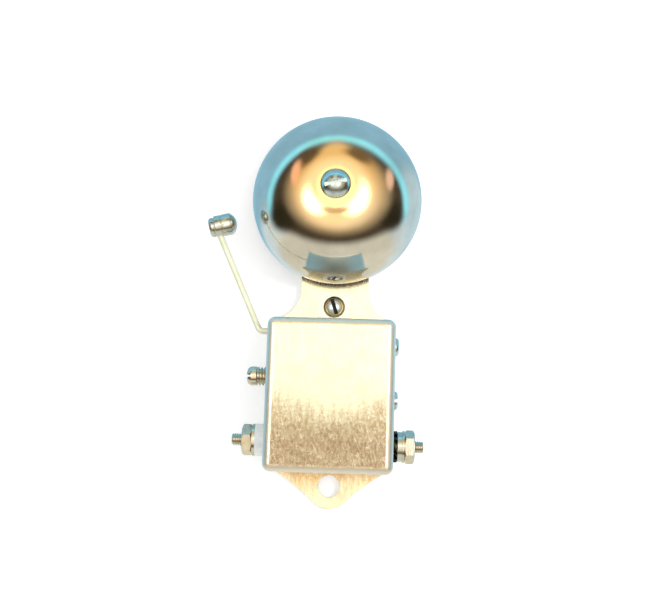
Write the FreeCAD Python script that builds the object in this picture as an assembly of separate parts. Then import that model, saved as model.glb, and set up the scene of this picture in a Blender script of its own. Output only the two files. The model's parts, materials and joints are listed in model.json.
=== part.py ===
import FreeCAD, Part
import math
import os
from FreeCAD import Vector

# Small single-gong electric trembler bell, millimetres.
# +Z is up along the bell, +X is right and the front faces -Y. The origin is on the
# back face, midway between the two fixing holes. Depths are given as h, the height
# above the back face, so y = -h.

# Base plate
PLATE_T = 1.5
HOLE_SPACING = 76.0
HOLE_D = 7.0
BODY_W = 39.0
NECK_W = 22.0
NECK_FLARE_R = 10.0
NECK_FLARE_Z = 25.3
LUG_R = 7.1
LUG_SIDE_R = 60.0
LUG_CORNER_Z = -32.5
PLATE_CORNER_R = 1.0

# Gong and its post
GONG_Z = 54.2
GONG_D = 55.0
GONG_WALL = 1.2
GONG_RIM_H = 5.9
GONG_TOP_H = 28.7
GONG_SHOULDER_R = 22.0
POST_D = 10.0
POST_TENON_D = 6.0
SEAT_WASHER_T = 1.0
GONG_SCREW_D = 5.0
GONG_SCREW_LENGTH = 14.0
GONG_SCREW_HEAD_D = 9.4
GONG_SCREW_HEAD_H = 3.0
GONG_SCREW_SLOT_DEG = 14.0

# Cover
COVER_OVERLAP = 0.2
COVER_TOP_Z = 13.3
COVER_LENGTH = 47.0
COVER_FRONT_H = 25.0
COVER_T = 0.8
COVER_CORNER_R = 2.4
COVER_EDGE_R = 2.3
COVER_TAB_W = 10.3
COVER_TAB_TOP_Z = 24.1
COVER_TAB_R = 3.0
COVER_SCREW_Z = 19.7
COVER_SCREW_D = 3.0
COVER_SCREW_HEAD_D = 5.6
COVER_SCREW_HEAD_H = 1.8
COVER_SCREW_SLOT_DEG = 108.0
COVER_WASHER_D = 7.0
COVER_WASHER_T = 0.5

# Magnet frame, bent from one strip
FRAME_T = 1.5
FRAME_BEND_R = 0.8
FRAME_LEFT_TOP_Z = 2.6
FRAME_FLANGE_H = 18.5
FRAME_CORNER_R = 3.0
COVER_FIT = 0.1
RIVET_D = 3.0
RIVET_HEAD_D = 5.0
RIVET_HEAD_H = 1.0
RIVET_X = 9.0
RIVET_Z = [7.8, -20.4]

# Magnet: the axis height is shared by coils, contact, terminals and hammer
AXIS_H = 12.0
COIL_Z = [6.0, -10.8]
CORE_D = 6.0
POLE_X = -5.5
POLE_STANDOUT = 1.0
BOBBIN_D = 12.4
BOBBIN_WALL = 0.6
BOBBIN_FLANGE_T = 1.0
WINDING_D = 11.2
CORE_SCREW_D = 3.0
CORE_SCREW_DEPTH = 5.0
CORE_SCREW_HEAD_D = 6.0
CORE_SCREW_HEAD_H = 2.2
CORE_SCREW_SLOT_DEG = [8.0, 90.0]

# Armature and its leaf spring
POLE_GAP = 0.3
ARMATURE_T = 2.5
ARMATURE_W = 8.0
ARMATURE_TOP_Z = 11.8
ARMATURE_FOOT_Z = -20.0
SPRING_T = 0.3
SPRING_FOOT_Z = -31.0
SPRING_SEAT_GAP = 0.02
SPRING_HOLD = 8.5
CLAMP_TOP_Z = -24.0
CLAMP_T = 1.0
CLAMP_SCREW_D = 2.0
CLAMP_SCREW_HEAD_D = 3.8
CLAMP_SCREW_HEAD_H = 1.3
CLAMP_SCREW_PITCH = 4.4
BRACKET_TOP_H = 17.0

# Contact spring on the armature, and the contact screw in the left side
CONTACT_SPRING_T = 0.2
CONTACT_SPRING_W = 5.0
CONTACT_SPRING_TIP_Z = -1.5
CONTACT_SPRING_LIFT = 1.0
CONTACT_RIVET_D = 2.6
CONTACT_RIVET_H = 0.7
SPRING_RIVET_D = 1.6
SPRING_RIVET_HEAD_D = 3.2
SPRING_RIVET_HEAD_H = 0.7
SPRING_RIVET_Z = [-18.4, -14.4]
SPRING_RIVET_MARGIN = 0.2
CONTACT_CHAMFER = 0.28
CONTACT_Z = -4.3
CONTACT_GAP = 0.03
CONTACT_SCREW_D = 6.0
CONTACT_SCREW_REACH = 6.7
CONTACT_SCREW_ROUND_R = 1.4
CONTACT_TIP_D = 2.4
CONTACT_TIP_H = 0.9
CONTACT_TIP_ROUND_R = 0.5
CONTACT_SLEEVE_D = 7.4
CONTACT_HEX_AF = 9.5
CONTACT_HEX_T = 3.0
CONTACT_BUSH_WALL = 0.6
CONTACT_BUSH_FLANGE_D = 9.6
CONTACT_BUSH_FLANGE_T = 0.9
CONTACT_WASHER_D = 10.5
INSULATOR_T = 0.8

# Hammer
ROD_D = 2.0
ROD_Z = 10.0
ROD_BEND_REACH = 3.45
ROD_BEND_R = 2.0
ROD_TAIL_INSET = 0.2
HAMMER_X = -36.4
HAMMER_Z = 43.8
HAMMER_D = 7.0
HAMMER_LENGTH = 9.2
HAMMER_TILT_DEG = 13.9
HAMMER_ROD_OFFSET = -2.0
HAMMER_DOME_H = 1.9
HAMMER_GROOVE_D = 5.8
HAMMER_GROOVE_W = 0.8
HAMMER_COLLAR_D = 6.4
HAMMER_COLLAR_W = 1.3
STRIKE_GAP = 0.45

# Terminals
STUD_D = 4.0
NUT_AF = 9.0
NUT_T = 3.2
INNER_NUT_AF = 7.2
INNER_NUT_T = 2.4
STUD_STANDOUT = 0.4
STUD_HOLE_D = 4.2
TERMINAL_WASHER_D = 10.0
LEFT_TERMINAL_Z = -24.2
LEFT_STUD_REACH = 10.6
LEFT_BUSH_D = 10.0
LEFT_BUSH_T = 4.15
LEFT_BUSH_BARREL_D = 6.0
LEFT_WASHER_T = 0.9
LEFT_NUT_DEG = 8.0
TAG_T = 0.5
TAG_D = 8.0
TAG_TAIL = 7.6
TAG_TAIL_W = 3.2
RIGHT_TERMINAL_Z = -25.0
RIGHT_STUD_REACH = 9.5
RIGHT_SPACER_T = 1.1
RIGHT_SPACER_D = 8.0
LOCK_WASHER_T = 0.6
LOCK_WASHER_ROOM = 1.3
LOCK_WASHER_D = 9.6
LOCK_WASHER_RING_D = 7.0
LOCK_WASHER_TEETH = 12
LOCK_TOOTH_W = 1.15
LOCK_TOOTH_ROOT = 0.4
LOCK_TOOTH_DEG = 30.0
CLAMP_WASHER_D = 9.2
CLAMP_WASHER_T = 1.5
RIGHT_WASHER_T = 0.6
RIGHT_NUT_DEG = 22.0

# Wires inside the cover
LEAD_D = 0.8
LEAD_H = 4.4
LEAD_BEND_R = 0.6
LEAD_RUN = 2.4

# Clearances
THREAD_FIT = 0.05
TAP_RUNOUT = 1.0
PRESS_FIT = 0.02
SLOT_CLEARANCE = 0.3
RUNNING_CLEARANCE = 0.4
HAIR = 0.01

# Fastener proportions, as shares of the head's or the thread's size
SLOT_DEPTH_SHARE = 0.5
SLOT_WIDTH_SHARE = 0.2
PAN_SIDE_SHARE = 0.45
NUT_CHAMFER_SHARE = 0.9
NUT_INSET_SHARE = 1.6
RIVET_FACE_SHARE = 0.5
STUD_CHAMFER = 0.4

# Places worked out from the sizes above
HOLE_Z = [-HOLE_SPACING / 2, HOLE_SPACING / 2]
cover_x = BODY_W / 2 + COVER_OVERLAP
contact_screw_end_x = -cover_x - CONTACT_SCREW_REACH
rod_bend_x = -cover_x - ROD_BEND_REACH
left_stud_end_x = -cover_x - LEFT_STUD_REACH
right_stud_end_x = cover_x + RIGHT_STUD_REACH
cover_bottom_z = COVER_TOP_Z - COVER_LENGTH
frame_x = cover_x - COVER_T - COVER_FIT
frame_inner_x = frame_x - FRAME_T
frame_top_z = COVER_TOP_Z - COVER_CORNER_R
frame_bottom_z = cover_bottom_z + COVER_CORNER_R
web_h = PLATE_T + FRAME_T
armature_right_x = POLE_X - POLE_GAP
armature_left_x = armature_right_x - ARMATURE_T
spring_right_x = armature_left_x - SPRING_SEAT_GAP
spring_left_x = spring_right_x - SPRING_T
pivot_x = (spring_left_x + spring_right_x) / 2
pivot_z = (CLAMP_TOP_Z + ARMATURE_FOOT_Z) / 2


def at(x, z, h):
    """A point given by its place across, its height up the bell and its depth."""
    return Vector(x, -h, z)


def slab(x0, x1, z0, z1, h0, h1):
    return Part.makeBox(x1 - x0, h1 - h0, z1 - z0, at(x0, z0, h1))


def round_x(d, x0, x1, z, h):
    """A cylinder along X from x0 to x1."""
    return Part.makeCylinder(d / 2, x1 - x0, at(x0, z, h), Vector(1, 0, 0))


def round_h(d, h0, h1, x, z):
    """A cylinder standing out from the back, from depth h0 to depth h1."""
    return Part.makeCylinder(d / 2, h1 - h0, at(x, z, h0), Vector(0, -1, 0))


def stand_out(wire, h0, h1):
    """A closed outline in the plane of the back, extruded from h0 to h1."""
    face = Part.Face(wire)
    face.translate(Vector(0, -h0, 0))
    return face.extrude(Vector(0, h0 - h1, 0))


def ring(outer_d, inner_d, x0, x1, z, h):
    return round_x(outer_d, x0, x1, z, h).cut(round_x(inner_d, x0, x1, z, h))


def turned(points):
    """A solid of revolution about Z from a closed outline of (radius, height)."""
    outline = [Vector(r, 0, v) for r, v in points]
    outline.append(outline[0])
    face = Part.Face(Part.makePolygon(outline))
    return face.revolve(Vector(0, 0, 0), Vector(0, 0, 1), 360)


def placed(shape, seat, axis):
    """A piece made about Z with its seat at the origin, moved to its place."""
    turn = FreeCAD.Rotation(Vector(0, 0, 1), axis)
    copy = shape.copy()
    copy.Placement = FreeCAD.Placement(seat, turn)
    return copy


def circles_meet(c0, r0, c1, r1, side):
    """The meeting point of two circles, left (+1) or right (-1) of c0 to c1."""
    dx = c1[0] - c0[0]
    dz = c1[1] - c0[1]
    gap = math.hypot(dx, dz)
    along = (r0 ** 2 - r1 ** 2 + gap ** 2) / (2 * gap)
    off = side * math.sqrt(r0 ** 2 - along ** 2)
    return (
        c0[0] + (along * dx - off * dz) / gap,
        c0[1] + (along * dz + off * dx) / gap,
    )


def swung(x, z, degrees):
    """A point in the mechanism's plane, turned about the armature's pivot."""
    a = math.radians(degrees)
    dx = x - pivot_x
    dz = z - pivot_z
    return (
        pivot_x + dx * math.cos(a) + dz * math.sin(a),
        pivot_z - dx * math.sin(a) + dz * math.cos(a),
    )


def gong_radius(h):
    """The gong's outer radius at a depth."""
    rise = max(h - (GONG_TOP_H - GONG_SHOULDER_R), 0)
    return GONG_D / 2 - GONG_SHOULDER_R + math.sqrt(GONG_SHOULDER_R ** 2 - rise ** 2)


def armature_swing():
    """Degrees from rest until the hammer's nose all but touches the gong."""
    tilt = math.radians(HAMMER_TILT_DEG)
    nose = (
        HAMMER_X + HAMMER_LENGTH / 2 * math.cos(tilt),
        HAMMER_Z + HAMMER_LENGTH / 2 * math.sin(tilt),
    )
    pivot = (pivot_x, pivot_z)
    reach = math.hypot(nose[0] - pivot_x, nose[1] - pivot_z)
    struck = circles_meet(pivot, reach, (0, GONG_Z), gong_radius(AXIS_H) + STRIKE_GAP, 1)
    before = math.atan2(nose[0] - pivot_x, nose[1] - pivot_z)
    after = math.atan2(struck[0] - pivot_x, struck[1] - pivot_z)
    return math.degrees(after - before)


SWING_DEG = armature_swing()


def to_rest(shape):
    """Turns a piece drawn with the armature drawn in back to the open position."""
    copy = shape.copy()
    copy.rotate(at(pivot_x, pivot_z, 0), Vector(0, 1, 0), -SWING_DEG)
    return copy


def quarter(rim_r, top, bend_r):
    """A quarter arc in a turned profile: level at the top, upright at the rim."""
    centre_r = rim_r - bend_r
    centre_z = top - bend_r
    lean = bend_r / math.sqrt(2)
    middle = Vector(centre_r + lean, 0, centre_z + lean)
    return Part.Arc(Vector(centre_r, 0, top), middle, Vector(rim_r, 0, centre_z)).toShape()


def pan_screw(d, length, head_d, head_h, slot_deg):
    """A slotted pan-head screw: seat at the origin, head up, shank down."""
    r = head_d / 2
    side_h = head_h * PAN_SIDE_SHARE
    bend_r = head_h - side_h
    flat_r = r - bend_r
    edges = [
        Part.makeLine(Vector(0, 0, -length), Vector(d / 2, 0, -length)),
        Part.makeLine(Vector(d / 2, 0, -length), Vector(d / 2, 0, 0)),
        Part.makeLine(Vector(d / 2, 0, 0), Vector(r, 0, 0)),
        Part.makeLine(Vector(r, 0, 0), Vector(r, 0, side_h)),
        quarter(r, head_h, bend_r),
        Part.makeLine(Vector(flat_r, 0, head_h), Vector(0, 0, head_h)),
        Part.makeLine(Vector(0, 0, head_h), Vector(0, 0, -length)),
    ]
    screw = Part.Face(Part.Wire(edges)).revolve(Vector(0, 0, 0), Vector(0, 0, 1), 360)
    width = head_d * SLOT_WIDTH_SHARE
    depth = head_h * SLOT_DEPTH_SHARE
    slot = Part.makeBox(head_d * 2, width, depth, Vector(-head_d, -width / 2, head_h - depth))
    slot.rotate(Vector(0, 0, 0), Vector(0, 0, 1), slot_deg)
    return screw.cut(slot)


def hex_nut(af, thickness, bore_d, turn_deg):
    """A hexagon nut about Z from the origin up, with both faces chamfered."""
    corner = af / math.sqrt(3)
    points = []
    for i in range(7):
        a = math.radians(turn_deg + 60 * i)
        points.append(Vector(corner * math.cos(a), corner * math.sin(a), 0))
    prism = Part.Face(Part.makePolygon(points)).extrude(Vector(0, 0, thickness))
    drop = (corner - af / 2) * NUT_CHAMFER_SHARE
    inset = corner - drop * NUT_INSET_SHARE
    clear = corner + HAIR
    blank = turned([
        (0, 0), (inset, 0), (clear, drop),
        (clear, thickness - drop), (inset, thickness), (0, thickness),
    ])
    bore = Part.makeCylinder(bore_d / 2, thickness)
    return prism.common(blank).cut(bore)


def bent_tube(d, points, bend_r):
    """A round wire through the points, its straight runs joined by tangent arcs."""
    pieces = []
    start = points[0]
    for before, corner, after in zip(points, points[1:], points[2:]):
        into = (corner - before).normalize()
        out = (after - corner).normalize()
        turn = into.getAngle(out)
        cut = bend_r * math.tan(turn / 2)
        first = corner - into * cut
        centre = corner + (out - into).normalize() * (bend_r / math.cos(turn / 2))
        pieces.append(Part.makeCylinder(d / 2, (first - start).Length, start, into))
        end = Part.Face(Part.Wire(Part.makeCircle(d / 2, first, into)))
        pieces.append(end.revolve(centre, into.cross(out), math.degrees(turn)))
        start = corner + out * cut
    last = points[-1] - start
    pieces.append(Part.makeCylinder(d / 2, last.Length, start, last))
    return pieces[0].fuse(pieces[1:])


def base_plate():
    """Pressed plate: round head under the gong, flared neck, body and lower lug."""
    side = BODY_W / 2
    neck = NECK_W / 2
    flare = neck + NECK_FLARE_R
    shoulder_z = NECK_FLARE_Z - math.sqrt(NECK_FLARE_R ** 2 - (flare - side) ** 2)
    lug = (0, HOLE_Z[0])
    corner = (side, LUG_CORNER_Z)
    outer = circles_meet(lug, LUG_R + LUG_SIDE_R, corner, LUG_SIDE_R, -1)
    span = LUG_R + LUG_SIDE_R
    touch = (outer[0] * LUG_R / span, lug[1] + (outer[1] - lug[1]) * LUG_R / span)
    middle_x = (touch[0] + side) / 2
    middle_z = outer[1] + math.sqrt(LUG_SIDE_R ** 2 - (outer[0] - middle_x) ** 2)
    flare_mid_x = (neck + side) / 2
    flare_mid_z = NECK_FLARE_Z - math.sqrt(NECK_FLARE_R ** 2 - (flare - flare_mid_x) ** 2)

    def arc(a, b, c):
        return Part.Arc(at(a[0], a[1], 0), at(b[0], b[1], 0), at(c[0], c[1], 0)).toShape()

    def line(a, b):
        return Part.makeLine(at(a[0], a[1], 0), at(b[0], b[1], 0))

    edges = [arc((neck, GONG_Z), (0, GONG_Z + neck), (-neck, GONG_Z))]
    for s in (-1, 1):
        half = [
            line((s * neck, GONG_Z), (s * neck, NECK_FLARE_Z)),
            arc((s * neck, NECK_FLARE_Z), (s * flare_mid_x, flare_mid_z), (s * side, shoulder_z)),
            line((s * side, shoulder_z), (s * side, LUG_CORNER_Z)),
            arc((s * side, LUG_CORNER_Z), (s * middle_x, middle_z), (s * touch[0], touch[1])),
        ]
        edges.extend(half)
    edges.append(arc((-touch[0], touch[1]), (0, HOLE_Z[0] - LUG_R), (touch[0], touch[1])))
    outline = Part.Wire(Part.__sortEdges__(edges))
    plate = stand_out(outline, 0, PLATE_T)
    corners = []
    for edge in plate.Edges:
        box = edge.BoundBox
        upright = box.YLength > PLATE_T / 2 and box.XLength < HAIR and box.ZLength < HAIR
        if upright and abs(abs(edge.CenterOfMass.x) - side) < HAIR:
            corners.append(edge)
    plate = plate.makeFillet(PLATE_CORNER_R, corners)
    for z in HOLE_Z:
        plate = plate.cut(round_h(HOLE_D, 0, PLATE_T, 0, z))
    plate = plate.cut(round_h(POST_TENON_D + 2 * PRESS_FIT, 0, PLATE_T, 0, GONG_Z))
    thread_d = COVER_SCREW_D + 2 * THREAD_FIT
    plate = plate.cut(round_h(thread_d, 0, PLATE_T, 0, COVER_SCREW_Z))
    for z in RIVET_Z:
        plate = plate.cut(round_h(RIVET_D + 2 * PRESS_FIT, 0, PLATE_T, RIVET_X, z))
    return plate


def magnet_frame():
    """Soft-iron strip bent to a U, with a bent-up bracket for the armature."""
    web = slab(-frame_x, frame_x, frame_bottom_z, frame_top_z, PLATE_T, web_h)
    right = slab(frame_inner_x, frame_x, frame_bottom_z, frame_top_z, PLATE_T, FRAME_FLANGE_H)
    left = slab(-frame_x, -frame_inner_x, frame_bottom_z, frame_top_z, PLATE_T, FRAME_FLANGE_H)
    frame = web.fuse([right, left]).removeSplitter()
    bends = []
    for edge in frame.Edges:
        box = edge.BoundBox
        along = box.ZLength > (frame_top_z - frame_bottom_z) / 2
        centre = edge.CenterOfMass
        outside = abs(abs(centre.x) - frame_x) < HAIR and abs(centre.y + PLATE_T) < HAIR
        inside = abs(abs(centre.x) - frame_inner_x) < HAIR and abs(centre.y + web_h) < HAIR
        if along and (outside or inside):
            bends.append(edge)
    frame = frame.makeFillet(FRAME_BEND_R, bends)
    corners = []
    for edge in frame.Edges:
        box = edge.BoundBox
        across = box.XLength > FRAME_T / 2 and box.YLength < HAIR and box.ZLength < HAIR
        if across and abs(edge.CenterOfMass.y + FRAME_FLANGE_H) < HAIR:
            corners.append(edge)
    frame = frame.makeFillet(FRAME_CORNER_R, corners)
    # The left side is cut down so that the hammer rod passes above it
    frame = frame.cut(slab(-frame_x, -frame_inner_x, FRAME_LEFT_TOP_Z, frame_top_z,
                           web_h + FRAME_BEND_R, FRAME_FLANGE_H))
    # Bracket bent up from the web, and the window that it leaves
    reach = BRACKET_TOP_H - web_h
    bracket_right_x = armature_left_x + FRAME_T
    window = slab(bracket_right_x, bracket_right_x + reach, SPRING_FOOT_Z, CLAMP_TOP_Z,
                  PLATE_T, web_h)
    bracket = slab(armature_left_x, bracket_right_x, SPRING_FOOT_Z, CLAMP_TOP_Z,
                   PLATE_T, BRACKET_TOP_H)
    frame = frame.cut(window).fuse(bracket)
    for z in COIL_Z:
        hole_d = CORE_SCREW_D + RUNNING_CLEARANCE
        frame = frame.cut(round_x(hole_d, frame_inner_x, frame_x, z, AXIS_H))
    barrel_d = contact_barrel_d() + 2 * PRESS_FIT
    frame = frame.cut(round_x(barrel_d, -frame_x, -frame_inner_x, CONTACT_Z, AXIS_H))
    left_d = LEFT_BUSH_BARREL_D + 2 * PRESS_FIT
    frame = frame.cut(round_x(left_d, -frame_x, -frame_inner_x, LEFT_TERMINAL_Z, AXIS_H))
    right_d = STUD_D + 2 * THREAD_FIT
    frame = frame.cut(round_x(right_d, frame_inner_x, frame_x, RIGHT_TERMINAL_Z, AXIS_H))
    for z in RIVET_Z:
        frame = frame.cut(round_h(RIVET_D + 2 * PRESS_FIT, PLATE_T, web_h, RIVET_X, z))
    for h in clamp_screw_h():
        thread_d = CLAMP_SCREW_D + 2 * THREAD_FIT
        frame = frame.cut(round_x(thread_d, armature_left_x, bracket_right_x, clamp_mid_z(), h))
    return frame.removeSplitter()


def clamp_mid_z():
    return (SPRING_FOOT_Z + CLAMP_TOP_Z) / 2


def clamp_screw_h():
    return [AXIS_H - CLAMP_SCREW_PITCH / 2, AXIS_H + CLAMP_SCREW_PITCH / 2]


def frame_rivets():
    """Two rivets, flush at the back, that hold the frame on the plate."""
    rivets = []
    for z in RIVET_Z:
        shank = round_h(RIVET_D, 0, web_h, RIVET_X, z)
        face_r = RIVET_HEAD_D / 2 * RIVET_FACE_SHARE
        head = Part.makeCone(RIVET_HEAD_D / 2, face_r, RIVET_HEAD_H,
                             at(RIVET_X, z, web_h), Vector(0, -1, 0))
        rivets.append(shank.fuse(head))
    return Part.makeCompound(rivets)


def gong_post():
    """Turned post riveted in the plate, tapped at its top for the gong screw."""
    top_h = GONG_TOP_H - GONG_WALL - SEAT_WASHER_T
    post = round_h(POST_D, PLATE_T, top_h, 0, GONG_Z)
    post = post.fuse(round_h(POST_TENON_D, 0, PLATE_T, 0, GONG_Z))
    thread_d = GONG_SCREW_D + 2 * THREAD_FIT
    depth = GONG_SCREW_LENGTH - GONG_WALL - SEAT_WASHER_T + TAP_RUNOUT
    return post.cut(round_h(thread_d, top_h - depth, top_h, 0, GONG_Z))


def gong_seat_washer():
    """Fibre washer as wide as the gong's flat crown."""
    low = GONG_TOP_H - GONG_WALL - SEAT_WASHER_T
    high = low + SEAT_WASHER_T
    flat_d = GONG_D - 2 * GONG_SHOULDER_R
    washer = round_h(flat_d, low, high, 0, GONG_Z)
    return washer.cut(round_h(GONG_SCREW_D + RUNNING_CLEARANCE, low, high, 0, GONG_Z))


def gong():
    """Pressed cup: flat seat at the crown, one round shoulder and a short skirt."""
    rim_r = GONG_D / 2
    inner_r = rim_r - GONG_WALL
    inner_top = GONG_TOP_H - GONG_WALL
    shoulder_h = GONG_TOP_H - GONG_SHOULDER_R
    flat_r = rim_r - GONG_SHOULDER_R
    hole_r = (GONG_SCREW_D + RUNNING_CLEARANCE) / 2
    edges = [
        Part.makeLine(Vector(hole_r, 0, GONG_TOP_H), Vector(flat_r, 0, GONG_TOP_H)),
        quarter(rim_r, GONG_TOP_H, GONG_SHOULDER_R),
        Part.makeLine(Vector(rim_r, 0, shoulder_h), Vector(rim_r, 0, GONG_RIM_H)),
        Part.makeLine(Vector(rim_r, 0, GONG_RIM_H), Vector(inner_r, 0, GONG_RIM_H)),
        Part.makeLine(Vector(inner_r, 0, GONG_RIM_H), Vector(inner_r, 0, shoulder_h)),
        quarter(inner_r, inner_top, GONG_SHOULDER_R - GONG_WALL),
        Part.makeLine(Vector(flat_r, 0, inner_top), Vector(hole_r, 0, inner_top)),
        Part.makeLine(Vector(hole_r, 0, inner_top), Vector(hole_r, 0, GONG_TOP_H)),
    ]
    face = Part.Face(Part.Wire(edges))
    cup = face.revolve(Vector(0, 0, 0), Vector(0, 0, 1), 360)
    return placed(cup, at(0, GONG_Z, 0), Vector(0, -1, 0))


def gong_screw():
    screw = pan_screw(GONG_SCREW_D, GONG_SCREW_LENGTH, GONG_SCREW_HEAD_D,
                      GONG_SCREW_HEAD_H, GONG_SCREW_SLOT_DEG)
    return placed(screw, at(0, GONG_Z, GONG_TOP_H), Vector(0, -1, 0))


def side_slot(x0, x1, z, width):
    """Room in a side wall, open at the rear, for something on the magnet's axis."""
    end = round_x(width, x0, x1, z, AXIS_H)
    return end.fuse(slab(x0, x1, z - width / 2, z + width / 2, PLATE_T, AXIS_H))


def rod_notch():
    """Room for the hammer rod at rest and with the armature drawn in."""
    wall_x = -cover_x + COVER_T / 2
    half = ROD_D / 2 + RUNNING_CLEARANCE
    swing = math.radians(SWING_DEG)
    struck_z = pivot_z + (ROD_Z - pivot_z) / math.cos(swing) + (pivot_x - wall_x) * math.tan(swing)
    return slab(-cover_x, -cover_x + COVER_CORNER_R, ROD_Z - half, struck_z + half,
                PLATE_T, AXIS_H + half)


def cover():
    """Drawn sheet-metal box with a screwed tab and side slots open at the rear."""
    def tub(inset, front_h):
        r = COVER_CORNER_R - inset
        block = slab(-cover_x + inset, cover_x - inset, cover_bottom_z + inset,
                     COVER_TOP_Z - inset, PLATE_T, front_h)
        corners = []
        for edge in block.Edges:
            if edge.BoundBox.YLength > (front_h - PLATE_T) / 2:
                corners.append(edge)
        block = block.makeFillet(r, corners)
        front = []
        for edge in block.Edges:
            if edge.BoundBox.YMax < HAIR - front_h:
                front.append(edge)
        return block.makeFillet(COVER_EDGE_R - inset, front)

    shell = tub(0, COVER_FRONT_H).cut(tub(COVER_T, COVER_FRONT_H - COVER_T))
    tab = slab(-COVER_TAB_W / 2, COVER_TAB_W / 2, COVER_TOP_Z - COVER_T, COVER_TAB_TOP_Z,
               PLATE_T, PLATE_T + COVER_T)
    ends = []
    for edge in tab.Edges:
        bounds = edge.BoundBox
        if bounds.YLength > COVER_T / 2 and bounds.ZMin > COVER_TAB_TOP_Z - HAIR:
            ends.append(edge)
    tab = tab.makeFillet(COVER_TAB_R, ends)
    shell = shell.fuse(tab).removeSplitter()
    screw_hole = COVER_SCREW_D + RUNNING_CLEARANCE
    shell = shell.cut(round_h(screw_hole, PLATE_T, PLATE_T + COVER_T, 0, COVER_SCREW_Z))
    inner = cover_x - COVER_T
    head_slot = CORE_SCREW_HEAD_D + 2 * SLOT_CLEARANCE
    for z in COIL_Z:
        shell = shell.cut(side_slot(inner, cover_x, z, head_slot))
    right_slot = TERMINAL_WASHER_D + 2 * SLOT_CLEARANCE
    shell = shell.cut(side_slot(inner, cover_x, RIGHT_TERMINAL_Z, right_slot))
    left_slot = LEFT_BUSH_D + 2 * SLOT_CLEARANCE
    shell = shell.cut(side_slot(-cover_x, -inner, LEFT_TERMINAL_Z, left_slot))
    contact_slot = CONTACT_BUSH_FLANGE_D + 2 * SLOT_CLEARANCE
    shell = shell.cut(side_slot(-cover_x, -inner, CONTACT_Z, contact_slot))
    return shell.cut(rod_notch())


def cover_screw_washer():
    low = PLATE_T + COVER_T
    high = low + COVER_WASHER_T
    hole_d = COVER_SCREW_D + RUNNING_CLEARANCE
    washer = round_h(COVER_WASHER_D, low, high, 0, COVER_SCREW_Z)
    return washer.cut(round_h(hole_d, low, high, 0, COVER_SCREW_Z))


def cover_screw():
    seat_h = PLATE_T + COVER_T + COVER_WASHER_T
    screw = pan_screw(COVER_SCREW_D, seat_h, COVER_SCREW_HEAD_D,
                      COVER_SCREW_HEAD_H, COVER_SCREW_SLOT_DEG)
    return placed(screw, at(0, COVER_SCREW_Z, seat_h), Vector(0, -1, 0))


def core(z):
    """Soft-iron core, tapped at the frame end."""
    body = round_x(CORE_D, POLE_X, frame_inner_x, z, AXIS_H)
    depth = CORE_SCREW_DEPTH + TAP_RUNOUT
    thread_d = CORE_SCREW_D + 2 * THREAD_FIT
    return body.cut(round_x(thread_d, frame_inner_x - depth, frame_inner_x, z, AXIS_H))


def bobbin_span():
    return (POLE_X + POLE_STANDOUT, frame_inner_x - PRESS_FIT)


def bobbin(z):
    """Moulded bobbin: a thin tube with a flange at each end."""
    x0, x1 = bobbin_span()
    tube = round_x(CORE_D + 2 * BOBBIN_WALL, x0, x1, z, AXIS_H)
    flanges = [
        round_x(BOBBIN_D, x0, x0 + BOBBIN_FLANGE_T, z, AXIS_H),
        round_x(BOBBIN_D, x1 - BOBBIN_FLANGE_T, x1, z, AXIS_H),
    ]
    bore = round_x(CORE_D + 2 * PRESS_FIT, x0, x1, z, AXIS_H)
    return tube.fuse(flanges).cut(bore)


def winding(z):
    x0, x1 = bobbin_span()
    inner_d = CORE_D + 2 * BOBBIN_WALL + 2 * PRESS_FIT
    low = x0 + BOBBIN_FLANGE_T + PRESS_FIT
    high = x1 - BOBBIN_FLANGE_T - PRESS_FIT
    return ring(WINDING_D, inner_d, low, high, z, AXIS_H)


def core_screws():
    screws = []
    for z, slot_deg in zip(COIL_Z, CORE_SCREW_SLOT_DEG):
        screw = pan_screw(CORE_SCREW_D, FRAME_T + CORE_SCREW_DEPTH, CORE_SCREW_HEAD_D,
                          CORE_SCREW_HEAD_H, slot_deg)
        screws.append(placed(screw, at(frame_x, z, AXIS_H), Vector(1, 0, 0)))
    return Part.makeCompound(screws)


def leaf_outline(low_z, high_z, left, right):
    """A leaf's edge outline: upright to the clamp, bent to the open armature."""
    turn = math.radians(SWING_DEG)
    bend_r = (ARMATURE_FOOT_Z - CLAMP_TOP_Z) / turn

    def on_bend(x, share):
        a = turn * share
        out = bend_r + (x - pivot_x)
        return at(pivot_x - bend_r + out * math.cos(a), CLAMP_TOP_Z + out * math.sin(a), 0)

    def on_armature(x, z):
        px, pz = swung(x, z, -SWING_DEG)
        return at(px, pz, 0)

    edges = []
    for x in (left, right):
        edges.append(Part.makeLine(at(x, low_z, 0), at(x, CLAMP_TOP_Z, 0)))
        edges.append(Part.Arc(on_bend(x, 0), on_bend(x, 0.5), on_bend(x, 1)).toShape())
        edges.append(Part.makeLine(on_bend(x, 1), on_armature(x, high_z)))
    edges.append(Part.makeLine(at(left, low_z, 0), at(right, low_z, 0)))
    edges.append(Part.makeLine(on_armature(left, high_z), on_armature(right, high_z)))
    return Part.Wire(Part.__sortEdges__(edges))


def rivet_span(i):
    """Where a spring rivet starts: the upper one also holds the contact spring."""
    left = spring_left_x
    if i == 1:
        left -= CONTACT_SPRING_T
    return left


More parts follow.
